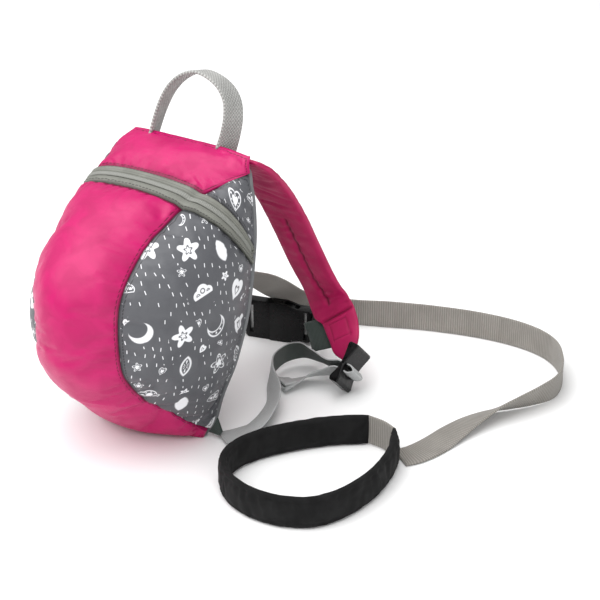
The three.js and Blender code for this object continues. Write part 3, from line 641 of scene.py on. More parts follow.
pinkCloth = clothMaterial("pinkNylon", srgb(186, 8, 96), srgb(136, 4, 64), rough=0.42, sheen=0.12)
strapCloth = clothMaterial("strapNylon", srgb(178, 8, 84), srgb(128, 4, 54), rough=0.5, sheen=0.1)
printCloth = clothMaterial("printedNylon", srgb(88, 89, 93), srgb(62, 63, 68), rough=0.42, sheen=0.2,
                           printed=withPrint)
greyCloth = clothMaterial("greyNylon", srgb(112, 114, 116), srgb(84, 86, 88), sheen=0.2)
tapeCloth = clothMaterial("zipTape", srgb(122, 123, 116), srgb(86, 87, 82), rough=0.65, sheen=0.15,
                          threads=14.0)
blackCloth = clothMaterial("blackCloth", srgb(9, 9, 10), srgb(4, 4, 4), rough=0.9, sheen=0.06, threads=16.0)
paleThread = clothMaterial("paleThread", srgb(190, 190, 188), srgb(150, 150, 148), rough=0.7)
greyWebbing = webbingMaterial("greyWebbing", srgb(154, 150, 144), srgb(92, 88, 82), ribs=5.0, ribbed=0.9)
# The pale webbing's inner colour is painted shade on its underside face.
paleWebbing = webbingMaterial("paleWebbing", srgb(196, 198, 198), srgb(140, 142, 142), ribs=10.0,
                              inner=srgb(70, 78, 74))
handleWebbing = webbingMaterial("handleWebbing", srgb(190, 190, 187), srgb(64, 64, 62), ribs=3.4, depth=1.0,
                                ribbed=0.12)
darkWebbing = webbingMaterial("darkWebbing", srgb(66, 78, 73), srgb(36, 43, 40), ribs=8.0)
blackPlastic = plasticMaterial("blackPlastic", srgb(8, 8, 9), 0.3)
coilPlastic = plasticMaterial("coilPlastic", srgb(128, 129, 124), 0.5)
print("materials done")


# Creases in cloth: drawn in at the seams, gathered beside them, and slack in between.
clothSet = {"gather": 1.3, "gatherReach": 9.0, "gatherPitch": 10.5, "groove": 1.2, "grooveReach": 1.6,
            "slack": 1.6, "slackSize": 34.0, "crumple": 0.4, "crumpleSize": 11.0, "zipGather": 0.8,
            "seamShadeReach": 1.5, "zipShadeReach": 1.9, "zipMargin": 0.002, "crown": (0.9, 0.95), "crownFar": 20.0,
            "calm": 0.05}


def gathers(distance, along, seed):
    s = clothSet
    uneven = noise.noise(Vector((along / 21, seed, 0.5)))
    wave = 0.5 + 0.5 * math.cos(tau * along / s["gatherPitch"] + 5 * uneven)
    return s["gather"] * (0.55 + uneven) * wave * math.exp(-distance / s["gatherReach"])


# The leash's route repeats the CAD's points: x, y, z and how far it leans from standing on edge.
leashSet = {"width": 25.0, "thickness": 2.0, "steps": 420}
leashRoute = [
    (0, 50, 143, 90), (0.3, 64.5, 125, 88), (8, 97.5, 97, 72), (12.8, 133.5, 75, 58), (8.5, 156.5, 59, 52),
    (4, 180.5, 42, 45), (6, 199.5, 27.5, 36), (13, 214.5, 18.5, 24), (28, 223.5, 14.5, 12),
    (47.5, 231.5, 12.7, 4), (67.5, 241, 12.7, 0), (90, 251.5, 12.7, 0), (113, 260.5, 12.7, 0),
    (149, 271, 12.7, 0), (182, 275, 12.7, 0), (210, 271.5, 12.7, 0), (231, 260, 12.7, 0),
    (248.5, 236.5, 12.7, 0), (256, 209.5, 12.8, -10), (250, 188, 12.3, -25), (239, 168, 10.5, -42),
    (228.5, 152, 8.1, -58), (221, 133.5, 5.5, -72), (216, 111.5, 2.9, -84), (213.5, 94.5, 1.3, -90),
    (210.5, 79.5, 1.3, -90), (206.5, 68, 1.3, -90), (200.5, 59, 1.3, -90),
]
loopSet = {"width": 26.5, "thickness": 8.6, "steps": 300, "sides": 24, "roundness": 2.7, "hemIn": 4.2,
           "hemDeep": 0.8, "hemWide": 0.9, "gather": 1.5, "crumple": 1.1, "crumpleSize": 5.5,
           "uneven": 0.035, "inner": 1.0, "outer": 0.5, "endReach": 4.0, "fill": 0.4, "webOverlap": 1.2,
           "webSag": (1, 2, 0), "hemShade": 0.7}
loopRoute = [
    (168, 64.5), (153, 53.5), (138, 38.5), (122, 17.5), (110, -4.5), (105, -24.5), (108, -43.5), (118, -57.5),
    (133, -67.5), (150, -72.5), (168, -72.5), (186, -67), (199, -57.5), (208.5, -39.5), (213.5, -9.5),
    (212, 13.5), (208, 32.5), (202.5, 47.5), (194.5, 59.5),
]


backFaceAt = 40  # where a padded piece's back face starts on its cloth, in millimetres


def addWristLoop():
    s = loopSet
    route = [Vector((x, y, s["width"] / 2)) for x, y in loopRoute]
    frames = stripFrames(route, [upright] * len(route), s["steps"])
    alongs = lengthsAlong(frames)
    section = padSection(s["sides"], s["roundness"])
    rings, marks = [], []
    for (at, across, out, t), along in zip(frames, alongs):
        ring = []
        ends = 1 - 0.5 * max(bump(along, end, s["endReach"]) for end in (0, alongs[-1]))
        for u, v in section:
            wavy = 1 - s["uneven"] * (1 + noise.noise(Vector((along / 9, 6.0 * (u > 0), 0))))
            x, face = u * s["width"] * wavy, abs(v) * 2
            seam = s["width"] / 2 - s["hemIn"] - abs(x)
            loose = s["inner"] if v > 0 else s["outer"]
            sink = s["hemDeep"] * bump(seam, 0, s["hemWide"])
            sink += s["gather"] * gathers(abs(seam), along, 5.0 + (x > 0)) * loose
            sink += s["crumple"] * noise.noise(Vector((along / s["crumpleSize"], x / 26, v * 9))) * loose
            shift = math.copysign(sink * face**2, v)
            place = at + across * x + out * (v * s["thickness"] * ends - shift)
            ring.append((place, x + backFaceAt * (v > 0)))
            # painted shade in the sunk hem groove
            marks.append(s["hemShade"] * bump(seam, 0, 0.8) * face**2)
        rings.append(ring)
    pad = loftPiece("wristLoopPad", rings, alongs, blackCloth, ["wrist_loop_pad"], 1, marks)
    first, last = route[0], route[-1]
    way = (last - first).normalized()
    start, end = first - way * s["webOverlap"], last + way * s["webOverlap"]
    between = [start, start.lerp(end, 0.5) + Vector(s["webSag"]), end]
    band = stripFrames(between, [upright] * 3, 24)
    web = bandPiece("wristLoopWebbing", band, leashSet, greyWebbing, "wrist_loop_web")
    return pad, web


def addLeash(onIt):
    s = leashSet
    route = [Vector(row[:3]) for row in leashRoute]
    frames = stripFrames(route, leaningSides(route, [row[3] for row in leashRoute]), s["steps"])
    leash = bandPiece("leashCord", frames, s, greyWebbing, "leash")
    path = [frame_[0] * mm for frame_ in frames[::5]]
    length = lengthsAlong(frames)[-1] * mm
    print("leash length", round(length, 4))


addLeash(addWristLoop())
print("leash and wrist loop done")


# The bag
bagSet = {
    "height": 225.0, "width": 160.0, "depth": 138.0, "lean": math.radians(14), "roundness": 1.97,
    "wall": 2.2, "tapeWall": 1.4, "padThickness": 8.0, "padEdge": 5.0, "padCrown": 2.0,
    "seamSink": 2.2, "seamReach": 7.0, "foldDepth": 5.0, "bottomBlend": 0.1,
    "zipLowHeight": 138.0, "zipHighHeight": 149.0, "zipLowSlope": 0.9, "zipHighSlope": 1.25,
    "clothWall": 1.6,
}
bagSections = [
    {"up": 0.0, "width": 0.69, "depth": 0.117, "seam": 0.81},
    {"up": 0.06, "width": 0.79, "depth": 0.386, "seam": 0.7},
    {"up": 0.15, "width": 0.83, "depth": 0.703, "seam": 0.55},
    {"up": 0.3, "width": 0.94, "depth": 0.944, "seam": 0.532},
    {"up": 0.5, "width": 1.0, "depth": 1.0, "seam": 0.522},
    {"up": 0.7, "width": 0.975, "depth": 0.784, "seam": 0.485},
    {"up": 0.85, "width": 0.9, "depth": 0.44, "seam": 0.515},
    {"up": 0.945, "width": 0.79, "depth": 0.19, "seam": 0.778},
    {"up": 1.0, "width": 0.67, "depth": 0.09, "seam": 0.9},
]
bagFolds = [
    {"up": 0.1, "turn": 0.3, "tall": 0.05, "wide": 0.1, "deep": 0.7},
    {"up": 0.17, "turn": 0.42, "tall": 0.05, "wide": 0.12, "deep": 0.5},
    {"up": 0.12, "turn": 0.64, "tall": 0.05, "wide": 0.12, "deep": 0.7},
    {"up": 0.3, "turn": 0.38, "tall": 0.04, "wide": 0.06, "deep": 0.5},
    {"up": 0.48, "turn": 0.37, "tall": 0.05, "wide": 0.06, "deep": 0.4},
    {"up": 0.34, "turn": 0.12, "tall": 0.12, "wide": 0.07, "deep": 0.5},
    {"up": 0.52, "turn": 0.9, "tall": 0.12, "wide": 0.07, "deep": 0.5},
    {"up": 0.76, "turn": 0.5, "tall": 0.04, "wide": 0.16, "deep": 0.4},
    {"up": 0.94, "turn": 0.4, "tall": 0.03, "wide": 0.1, "deep": 0.3},
]
halfWidthShare = column(bagSections, "up", "width")
depthShare = column(bagSections, "up", "depth")
seamShare = column(bagSections, "up", "seam")
baseDepth = bagSet["depth"] * bagSections[0]["depth"] / math.cos(bagSet["lean"])
shellStart = bagSet["padThickness"] + gap


def bagToWorld(x, rise, forward):
    c, n = math.cos(bagSet["lean"]), math.sin(bagSet["lean"])
    return Vector((x, rise * n - forward * c + baseDepth / 2, rise * c + forward * n))


def bagWay(x, rise, forward):
    return bagToWorld(x, rise, forward) - bagToWorld(0, 0, 0)


def riseAt(up, forward):
    tip = max(0.0, 1 - up / bagSet["bottomBlend"]) ** 2
    return up * bagSet["height"] - forward * math.tan(bagSet["lean"]) * tip


def halfWidthAt(up):
    return halfWidthShare(up) * bagSet["width"] / 2


def bagOutline(up, turn):
    depth = max(depthShare(up) * bagSet["depth"] - shellStart, bagSet["wall"])
    power = 2 / bagSet["roundness"]
    x = math.copysign(halfWidthAt(up) * abs(math.cos(turn)) ** power, math.cos(turn))
    forward = shellStart + depth * abs(math.sin(turn)) ** power
    return Vector((x, riseAt(up, forward), forward))


def seamTurn(up):
    return math.acos(clamp(seamShare(up) / halfWidthShare(up)) ** (bagSet["roundness"] / 2))


# The left seam lies further round the bag above its middle.
leftShifts = [{"low": 0.36, "high": 0.62, "share": 0.34}, {"low": 0.62, "high": 0.85, "share": 0.26}]


def leftTurn(up):
    shifts = [row["share"] * smoothStep(up, row["low"], row["high"]) for row in leftShifts]
    return seamTurn(up) * (1 - sum(shifts))


def upAtPlane(line, height, slope):
    low, high = 0.3, 1.0
    for _ in range(26):
        middle = (low + high) / 2
        p = bagOutline(middle, line(middle))
        if p.y < height + slope * p.z:
            low = middle
        else:
            high = middle
    return (low + high) / 2


def zipLow(line, offset=0.0):
    slope = bagSet["zipLowSlope"]
    return upAtPlane(line, bagSet["zipLowHeight"] + offset * math.hypot(1, slope), slope)


def zipHigh(line, offset=0.0):
    slope = bagSet["zipHighSlope"]
    return upAtPlane(line, bagSet["zipHighHeight"] + offset * math.hypot(1, slope), slope)


def zipEdges(turn):
    line = lambda up: turn
    return zipLow(line), zipHigh(line)


zipSteps = 90
zipTable = [zipEdges(math.pi * i / zipSteps) for i in range(zipSteps + 1)]


def zipEdgesAt(turn):
    place = clamp(turn / math.pi) * zipSteps
    i = min(int(place), zipSteps - 1)
    return [mix(a, b, place - i) for a, b in zip(zipTable[i], zipTable[i + 1])]


def clothSink(up, turn, place):
    s = clothSet
    halfWidth = halfWidthAt(up)
    height = bagSet["height"]
    near = min(abs(turn - seamTurn(up)), abs(math.pi - turn - leftTurn(up))) * halfWidth
    near += s["crownFar"] * smoothStep(up, *s["crown"])  # the side seams fade out in the crown
    sink = bagSet["seamSink"] * bump(near, 0, bagSet["seamReach"])
    for fold in bagFolds:
        u, v = (up - fold["up"]) / fold["tall"], (turn / math.pi - fold["turn"]) / fold["wide"]
        sink += bagSet["foldDepth"] * fold["deep"] * math.exp(-(u * u + v * v) * 1.5)
    sink *= smoothStep(min(up, 1 - up), 0, bagSet["bottomBlend"] / 2)
    low, high = zipEdgesAt(turn)
    toZip = (low - up) * height if up < low + 0.01 else max(0.0, (up - high) * height)
    inZip = low + s["zipMargin"] < up < high - s["zipMargin"]
    calm = smoothStep(up, 0, s["calm"])
    extra, mark = 0.0, 0.0
    if not inZip:
        extra += gathers(near, up * height, 1.7 if turn < math.pi / 2 else 3.4)
        extra += s["zipGather"] * gathers(max(0.0, toZip), turn * halfWidth, 4.2)
        extra += s["groove"] * bump(max(0.0, toZip), 0, s["grooveReach"])
        extra += s["groove"] * bump(near, 0, s["grooveReach"])
        extra += s["slack"] * noise.noise(place / s["slackSize"])
        extra += s["crumple"] * noise.noise(place / s["crumpleSize"] + Vector((7, 0, 0)))
        # mark: painted shade in the grooves along the side seams and the zip's edges
        mark = max(bump(near, 0, s["seamShadeReach"]), bump(toZip, 0, s["zipShadeReach"]))
    return sink + extra * calm, mark


def skinPoint(up, turn, depth):
    step = 0.004
    upLow, upHigh = max(0.0, up - step), min(1.0, up + step)
    turnLow, turnHigh = max(0.0, turn - step), min(math.pi, turn + step)
    alongUp = bagOutline(upHigh, turn) - bagOutline(upLow, turn)
    alongTurn = bagOutline(up, turnHigh) - bagOutline(up, turnLow)
    inward = alongTurn.cross(alongUp).normalized()
    place = bagOutline(up, turn)
    sink, mark = clothSink(up, turn, place)
    point = place + inward * (sink + depth)
    return bagToWorld(point.x, point.y, max(point.z, shellStart)), mark


def seamEase(up):
    return gap / (2 * halfWidthAt(up))


def crowd(share):
    return (1 - math.cos(math.pi * share)) / 2


def sideLine(share):
    return lambda up: (seamTurn(up) - seamEase(up)) * share


def leftLine(share):
    return lambda up: math.pi - (leftTurn(up) - seamEase(up)) * share


def frontLine(share):
    def line(up):
        start = seamTurn(up) + seamEase(up)
        return mix(start, math.pi - leftTurn(up) - seamEase(up), share)
    return line


# A skin is simulated as cloth: held along its seams, cut larger than its place and pushed out by the filling.
simulationSet = {"scale": 10.0, "frames": 18, "larger": 0.05, "pressure": 2.6, "hold": 0.004, "pinned": 1.6,
                 "fade": 2.4, "stiffness": 12.0, "bending": 0.12, "mass": 0.2, "quality": 4}
floorReach = 1.0  # what lies lower than this is held on the floor
innerFloor = 0.3


def rimDistances(points, columns, rows):
    wide = columns + 1
    level = [list(range(j * wide, (j + 1) * wide)) for j in range(rows + 1)]
    steep = [list(range(i, len(points), wide)) for i in range(wide)]
    far = [math.inf] * len(points)
    for line in level + steep:
        reach = [0.0]
        for a, b in zip(line, line[1:]):
            reach.append(reach[-1] + (points[b] - points[a]).length)
        for spot, passed in zip(line, reach):
            far[spot] = min(far[spot], passed, reach[-1] - passed)
    return far


def simulateSkin(name, points, faces, far, fixed, fullness):
    s = simulationSet
    size = mm * s["scale"]
    mesh = bpy.data.meshes.new(name)
    mesh.from_pydata([p * size for p in points], [], faces)
    skin = bpy.data.objects.new(name, mesh)
    bpy.context.scene.collection.objects.link(skin)
    held = skin.vertex_groups.new(name="held")
    for i, reach in enumerate(far):
        weight = 1.0 if fixed[i] else clamp(1 - (reach - s["pinned"]) / s["fade"], s["hold"], 1.0)
        held.add([i], weight, "REPLACE")
    cloth = skin.modifiers.new("cloth", "CLOTH")
    c = cloth.settings
    c.quality = s["quality"]
    c.mass = s["mass"]
    c.tension_stiffness = c.compression_stiffness = s["stiffness"]
    c.shear_stiffness = s["stiffness"] / 2
    c.bending_stiffness = s["bending"]
    c.vertex_group_mass = "held"
    c.shrink_min = -s["larger"] * fullness
    c.use_pressure = True
    c.uniform_pressure_force = s["pressure"]
    c.effector_weights.gravity = 0
    cloth.point_cache.frame_end = s["frames"]
    scene = bpy.context.scene
    for frameNumber in range(1, s["frames"] + 1):
        scene.frame_set(frameNumber)
    done = skin.evaluated_get(bpy.context.evaluated_depsgraph_get()).data
    moved = [v.co / size for v in done.vertices]
    normals = [v.normal.copy() for v in done.vertices]
    bpy.data.objects.remove(skin)
    scene.frame_set(1)
    furthest = max((a - b).length for a, b in zip(points, moved))
    print("simulated", name, "moved up to", round(furthest, 2), "mm")
    return moved, normals


# A closed cloth panel: an outer and an inner skin joined at the rim.
def clothPanel(name, place, columns, rows, wall, material, node, middle=0.5, simulated=1.0):
    points, marks, uvs = [], [], []
    for depth in (0.0, wall):
        for j in range(rows + 1):
            line, along = [], 0.0
            for i in range(columns + 1):
                point, mark, up = place(i / columns, j / rows, depth)
                if line:
                    along += (point - line[-1][0]).length
                line.append((point, mark, up, along))
            for point, mark, up, reach in line:
                points.append(point)
                marks.append(mark)
                uvs.append(((reach - middle * along) / cm, up * bagSet["height"] / cm))
    layer = (columns + 1) * (rows + 1)
    at = lambda i, j: j * (columns + 1) + i
    faces = []
    for j in range(rows):
        for i in range(columns):
            a, b, c, d = at(i, j), at(i + 1, j), at(i + 1, j + 1), at(i, j + 1)
            faces += [(a, b, c, d), (layer + a, layer + d, layer + c, layer + b)]
    rim = [at(i, 0) for i in range(columns)] + [at(columns, j) for j in range(rows)]
    rim += [at(i, rows) for i in range(columns, 0, -1)] + [at(0, j) for j in range(rows, 0, -1)]
    for start, end in zip(rim, rim[1:] + rim[:1]):
        faces.append((end, start, layer + start, layer + end))
    if volumeOf(points, faces) < 0:
        faces = [tuple(reversed(face)) for face in faces]
    rims = rimDistances(points[:layer], columns, rows)
    if simulated:
        outer = [face for face in faces if max(face) < layer]
        skin = points[:layer]
        fixed = [p.z < floorReach for p in skin]
        skin, normals = simulateSkin(name, skin, outer, rims, fixed, simulated)
        for p in skin:
            p.z = max(p.z, 0.0)
        points = skin + [p - n * wall for p, n in zip(skin, normals)]
        for p in points[layer:]:
            p.z = max(p.z, innerFloor)
    return makePiece(name, points, faces, material, [node], uvs, marks, rims=rims + rims)


panelSet = {"rows": 110, "sideFirst": 15, "topTip": 0.94, "topRows": 30, "crownRows": 12, "baseRows": 6,
            "sideColumns": 40, "sideTopColumns": 26, "frontColumns": 84, "topColumns": 72,
            "topSimulated": 0.55}


def underZip(line, row):
    return zipLow(line, -gap / 2) * (row / panelSet["rows"]) ** 1.5


def overZip(line, row):
    s = panelSet
    if row > s["topRows"]:
        return mix(s["topTip"], 1.0, (row - s["topRows"]) / s["crownRows"])
    return mix(zipHigh(line, gap / 2), s["topTip"], row / s["topRows"])


def panelPlace(lineOf, upOf, rows):
    def place(a, b, depth):
        line = lineOf(crowd(a))
        up = upOf(line, b * rows)
        point, mark = skinPoint(up, line(up), depth)
        return point, mark, up
    return place


def addSidePanels():
    s, wall = panelSet, bagSet["clothWall"]
    rows = s["rows"] - s["sideFirst"]
    for name, lineOf in (("right", sideLine), ("left", leftLine)):
        lower = panelPlace(lineOf, lambda line, row: underZip(line, s["sideFirst"] + row), rows)
        clothPanel(f"sidePanel_{name}", lower, s["sideColumns"], rows, wall, printCloth,
                   f"side_panel_{name}", 0.0)
        upper = panelPlace(lineOf, overZip, s["topRows"])
        clothPanel(f"sideTop_{name}", upper, s["sideTopColumns"], s["topRows"], wall, printCloth,
                   f"side_top_{name}", 0.0)


def addFrontPanel():
    s = panelSet
    rows = s["rows"] + s["baseRows"]

    def place(a, b, depth):
        line = frontLine(crowd(a))
        row = b * rows - s["baseRows"]
        if row >= 0:
            up = underZip(line, row)
            point, mark = skinPoint(up, line(up), depth)
            return point, mark, up
        edge = bagOutline(0, line(0))
        forward = mix(shellStart, edge.z, 1 + row / s["baseRows"])
        floor = bagToWorld(edge.x, riseAt(0, forward), forward)
        floor.z += depth
        return floor, 0.0, 0.0

    clothPanel("frontPanel", place, s["frontColumns"], rows, bagSet["clothWall"], pinkCloth,
               "front_panel")


# The upper left corner is rounded off, and the right one stands out.
cornerSet = {"from": 0.9, "right": 0.12, "left": -0.045, "power": 1.5}


def cornerShare(up, x):
    s = cornerSet
    over = clamp((up - s["from"]) / (1 - s["from"]))
    return 1 + s["right" if x > 0 else "left"] * over ** s["power"]


topRoll = {"everywhere": 0.6, "middle": 2.6, "back": 4.5}


def addTopPanel():
    rows = panelSet["topRows"] + panelSet["crownRows"]
    flat = panelPlace(frontLine, overZip, rows)
    upwards, forwards = bagWay(0, 1, 0), bagWay(0, 0, 1)

    def place(a, b, depth):
        point, mark, up = flat(a, b, depth)
        over = smoothStep(up, panelSet["topTip"], 1.0)
        level = 1 - min(1.0, abs(point.x) / halfWidthAt(up)) ** 4
        lift = topRoll["everywhere"] + topRoll["middle"] * level
        point = point + upwards * lift * over - forwards * topRoll["back"] * over**3
        point.x *= cornerShare(up, point.x)
        # the painted seam shade fades out over the crown
        return point, mark * (1 - over), up

    clothPanel("topPanel", place, panelSet["topColumns"], rows, bagSet["clothWall"], pinkCloth,
               "top_panel", simulated=panelSet["topSimulated"])


# The zip's two tapes stand up in flat ridged bands beside the coil.
tapeSet = {"columns": 150, "rows": 40, "high": 1.3, "ridges": 7, "ridgeDeep": 0.22, "innerEdge": (0.12, 0.17),
           "outerEdge": (0.43, 0.5)}
# Dark lines on the tape: the two at its edges (0 and 1) are painted shade in the gaps at the seams, the two
# inside are its stitch rows.
tapeShadeAndStitchLines = [(1, 0.07, 1.0), (0, 0.06, 0.5), (0.27, 0.03, 0.4), (0.75, 0.03, 0.4)]  # place, width, strength


def addZip():
    s = tapeSet

    def place(a, b, depth):
        line = lambda up, turn=math.pi * a: turn
        up = mix(zipLow(line, gap / 2), zipHigh(line, -gap / 2), b)
        aside = abs(b - 0.5)
        plateau = smoothStep(aside, *s["innerEdge"]) * (1 - smoothStep(aside, *s["outerEdge"]))
        lift = plateau * (s["high"] + s["ridgeDeep"] * math.cos(tau * b * s["ridges"]))
        point = skinPoint(up, math.pi * a, depth - lift)[0]
        lines = sum(strength * bump(b, at, wide) for at, wide, strength in tapeShadeAndStitchLines)
        return point, min(1.0, lines), up

    clothPanel("zipBand", place, s["columns"], s["rows"], bagSet["tapeWall"], tapeCloth,
               "zip_band", simulated=0)


addSidePanels()
addFrontPanel()
addTopPanel()
addZip()
print("bag shells done")


# The back panel is a padded board with stitched channels, and a tape bound round its edge.
backSet = {"columns": 64, "rows": 84, "wall": 1.0, "channels": (-0.36, 0.36), "channelDeep": 1.6,
           "channelWide": 2.6, "channelFrom": 0.12, "channelTo": 0.62, "edgeDeep": 1.6, "edgeRoll": 2.4,
           "binding": 9.0, "bindingDeep": 0.9, "slack": 0.35, "slackSize": 14.0, "topNarrow": 0.04,
           "topLow": 2.0, "narrowFrom": 0.93, "lowFrom": 0.95, "fill": 0.5}


def addBackPanel():
    s, bag = backSet, bagSet

    def place(a, b, depth):
        across = -math.cos(math.pi * a)
        up = crowd(b)
        halfWidth = halfWidthAt(up)
        middle = math.sqrt(max(0.0, (1 - across**4) * (1 - (2 * up - 1) ** 4)))
        thickness = bag["padEdge"] + (bag["padThickness"] + bag["padCrown"] - bag["padEdge"]) * middle
        toSide = (1 - abs(across)) * halfWidth
        toEnd = min(up, 1 - up) * bag["height"]
        edge = min(toSide, toEnd)
        roll = s["edgeDeep"] * math.exp(-edge / s["edgeRoll"])
        roll += s["bindingDeep"] * bump(edge, s["binding"], 1.0)
        # mark: painted shade in the binding groove and the stitched channel grooves
        mark = bump(edge, s["binding"], 1.2)
        lines = []
        if s["channelFrom"] < up < s["channelTo"]:
            lines = [(across - channel) * halfWidth for channel in s["channels"]]
        if toSide > s["binding"]:
            lines.append((up - s["channelTo"]) * bag["height"])
        for near in lines:
            roll += s["channelDeep"] * bump(near, 0, s["channelWide"])
            mark = max(mark, bump(near, 0, 1.0))
        flat = Vector((across * halfWidth, up * bag["height"], 0))
        roll += s["slack"] * noise.noise(flat / s["slackSize"]) * smoothStep(edge, 2, 12)
        forward = bag["padThickness"] if depth > 0 else bag["padThickness"] - thickness + roll
        narrow = 1 - s["topNarrow"] * smoothStep(up, s["narrowFrom"], 1.0)
        x = across * halfWidth * cornerShare(up, across) * narrow
        rise = riseAt(up, forward) - s["topLow"] * smoothStep(up, s["lowFrom"], 1.0)
        return bagToWorld(x, rise, forward), mark if depth == 0 else 0.0, up

    panel = clothPanel("backPanel", place, s["columns"], s["rows"], s["wall"], greyCloth,
                       "back_panel", simulated=0)


# The grab handle is one piece of coarse webbing, sewn into the top edge.
handleSet = {"spacing": 76.0, "rise": 54.0, "width": 20.0, "thickness": 2.6, "steps": 110, "rightTurn": -20.0,
             "leftTurn": 17.0, "sewnIn": 3.0}
handleArch = [(0.465, 0), (0.49, 0.2), (0.5, 0.45), (0.465, 0.68), (0.37, 0.85), (0.22, 0.96), (0.05, 1),
              (-0.1, 0.94), (-0.24, 0.79), (-0.34, 0.58), (-0.41, 0.3), (-0.455, 0)]


def addHandle():
    s = handleSet
    foot = bagSet["height"] + 3 * gap
    route = [bagToWorld(x * s["spacing"], foot + y * s["rise"], 0) for x, y in handleArch]
    for end in (0, -1):
        route[end] = bagToWorld(handleArch[end][0] * s["spacing"], foot - s["sewnIn"], 1)
    turns = [mix(s["rightTurn"], s["leftTurn"], i / (len(route) - 1)) for i in range(len(route))]
    sides = [Matrix.Rotation(math.radians(turn), 3, "Z") @ bagWay(0, 0, 1) for turn in turns]
    frames = stripFrames(route, sides, s["steps"])
    bandPiece("grabHandle", frames, s, handleWebbing, "grab_handle")


# The shoulder straps: padded, folded over at the edges, with a flat sewn end.
strapSet = {"width": 42.0, "thickness": 9.0, "setting": 49.0, "spread": 54.0, "reach": 98.0,
            "tipHeight": 23.2, "steps": 190, "sides": 40, "roundness": 3.2, "rootReach": 0.16,
            "rightTuck": 0.1, "leftTuck": 0.75, "fill": 0.45}
strapSlack = {"deep": 0.9, "rootDeep": 1.4, "rootAt": 0.2, "rootWide": 0.13, "long": 7.5, "wide": 26.0,
              "edgeDeep": 0.5, "edgeIn": 3.4}
strapSeam = {"from": 0.3, "to": 0.7, "fade": 0.03, "deep": 2.0, "wide": 2.4, "mark": 1.3}
strapTab = {"share": 0.765, "deep": 2.4, "wide": 0.01, "mark": 0.007, "narrow": 0.3, "boxFrom": 0.8,
            "boxTo": 0.885, "boxHalf": 9.5, "boxWide": 0.8, "boxDeep": 0.5}
strapFolds = [
    {"along": 74.0, "lean": 0.25, "wave": 4.0, "deep": 1.6, "wide": 2.6, "from": -14.0},
    {"along": 58.0, "lean": -0.35, "wave": 0.0, "deep": 1.2, "wide": 2.2, "from": -30.0},
    {"along": 38.0, "lean": 0.1, "wave": 0.0, "deep": 1.5, "wide": 3.0, "from": -30.0},
]
strapSections = [
    {"drop": 0.0, "out": 0.0, "back": 0.0, "width": 0.9, "thickness": 0.5},
    {"drop": 0.06, "out": 0.0, "back": 0.16, "width": 1.0, "thickness": 0.9},
    {"drop": 0.19, "out": 0.0, "back": 0.4, "width": 1.0, "thickness": 1.0},
    {"drop": 0.34, "out": 0.02, "back": 0.6, "width": 1.0, "thickness": 1.0},
    {"drop": 0.49, "out": 0.07, "back": 0.75, "width": 0.98, "thickness": 1.0},
    {"drop": 0.64, "out": 0.17, "back": 0.87, "width": 0.98, "thickness": 1.0},
    {"drop": 0.77, "out": 0.31, "back": 0.965, "width": 0.98, "thickness": 0.85},
    {"drop": 0.83, "out": 0.44, "back": 0.96, "width": 0.95, "thickness": 0.5},
    {"drop": 0.88, "out": 0.6, "back": 0.92, "width": 0.9, "thickness": 0.6},
    {"drop": 0.94, "out": 0.79, "back": 0.85, "width": 0.75, "thickness": 0.6},
    {"drop": 1.0, "out": 1.0, "back": 0.78, "width": 0.21, "thickness": 0.4},
]


def strapPoints():
    s = strapSet
    top = bagSet["height"] - s["thickness"] / 2
    root = bagToWorld(s["setting"], top, bagSet["padThickness"] - bagSet["padEdge"])
    root.y += s["thickness"] / 4
    return [Vector((root.x + row["out"] * s["spread"], root.y + row["back"] * s["reach"],
                    mix(root.z, s["tipHeight"], row["drop"]))) for row in strapSections]


strapRoute = strapPoints()
strapTip = strapRoute[-1]
strapShares = [{**row, "share": i / (len(strapSections) - 1)} for i, row in enumerate(strapSections)]
strapWidthAt = column(strapShares, "share", "width")
strapThicknessAt = column(strapShares, "share", "thickness")
strapFrames = stripFrames(strapRoute, [Vector((1, 0, 0))] * len(strapRoute), strapSet["steps"])


# How far a strap's face is drawn in at one place, and how dark its seam is there: painted shade in its seam
# and tab grooves, and along the box stitch partly the stitching.
def strapSink(t, along, total, x, edge, face, side):
    seam, tab, slack = strapSeam, strapTab, strapSlack
    sink, mark = 0.0, 0.0
    padded = 1 - smoothStep(t, tab["share"] - 0.01, tab["share"] + 0.02)
    if seam["from"] < t < seam["to"]:
        starts = smoothStep(t, seam["from"], seam["from"] + seam["fade"])
        ends = starts * (1 - smoothStep(t, seam["to"] - seam["fade"], seam["to"]))
        sink += (seam["deep"] * bump(x, 0, seam["wide"]) + gathers(abs(x), along, 8.0 + side)) * ends
        # painted shade in the centre seam groove
        mark = bump(x, 0, seam["mark"]) * ends
    loose = noise.noise(Vector((along / slack["long"], x / slack["wide"], 3.1 * side)))
    sink += (slack["deep"] + slack["rootDeep"] * bump(t, slack["rootAt"], slack["rootWide"])) * loose * padded
    for row in strapFolds:
        at = row["along"] + row["wave"] * math.sin(x / 9)
        sink += row["deep"] * bump(along + row["lean"] * x, at, row["wide"]) * padded * (x > row["from"])
    sink += tab["deep"] * bump(t, tab["share"], tab["wide"])
    # painted shade in the fold at the tab
    mark = max(mark, 0.9 * bump(t, tab["share"], tab["mark"]))
    sink += slack["edgeDeep"] * bump(edge, slack["edgeIn"], 1.0) * face * padded
    if tab["boxFrom"] - 0.01 < t < tab["boxTo"] + 0.01 and abs(x) < tab["boxHalf"] + 1.5:
        boxAlong = min(abs(t - tab["boxFrom"]), abs(t - tab["boxTo"])) * total
        box = max(bump(abs(x), tab["boxHalf"], tab["boxWide"]), bump(boxAlong, 0, tab["boxWide"]))
        sink += tab["boxDeep"] * box
        # partly painted shade in the sunk box line, partly the stitching itself
        mark = max(mark, 0.6 * box)
    return sink * face**2, mark * face**2


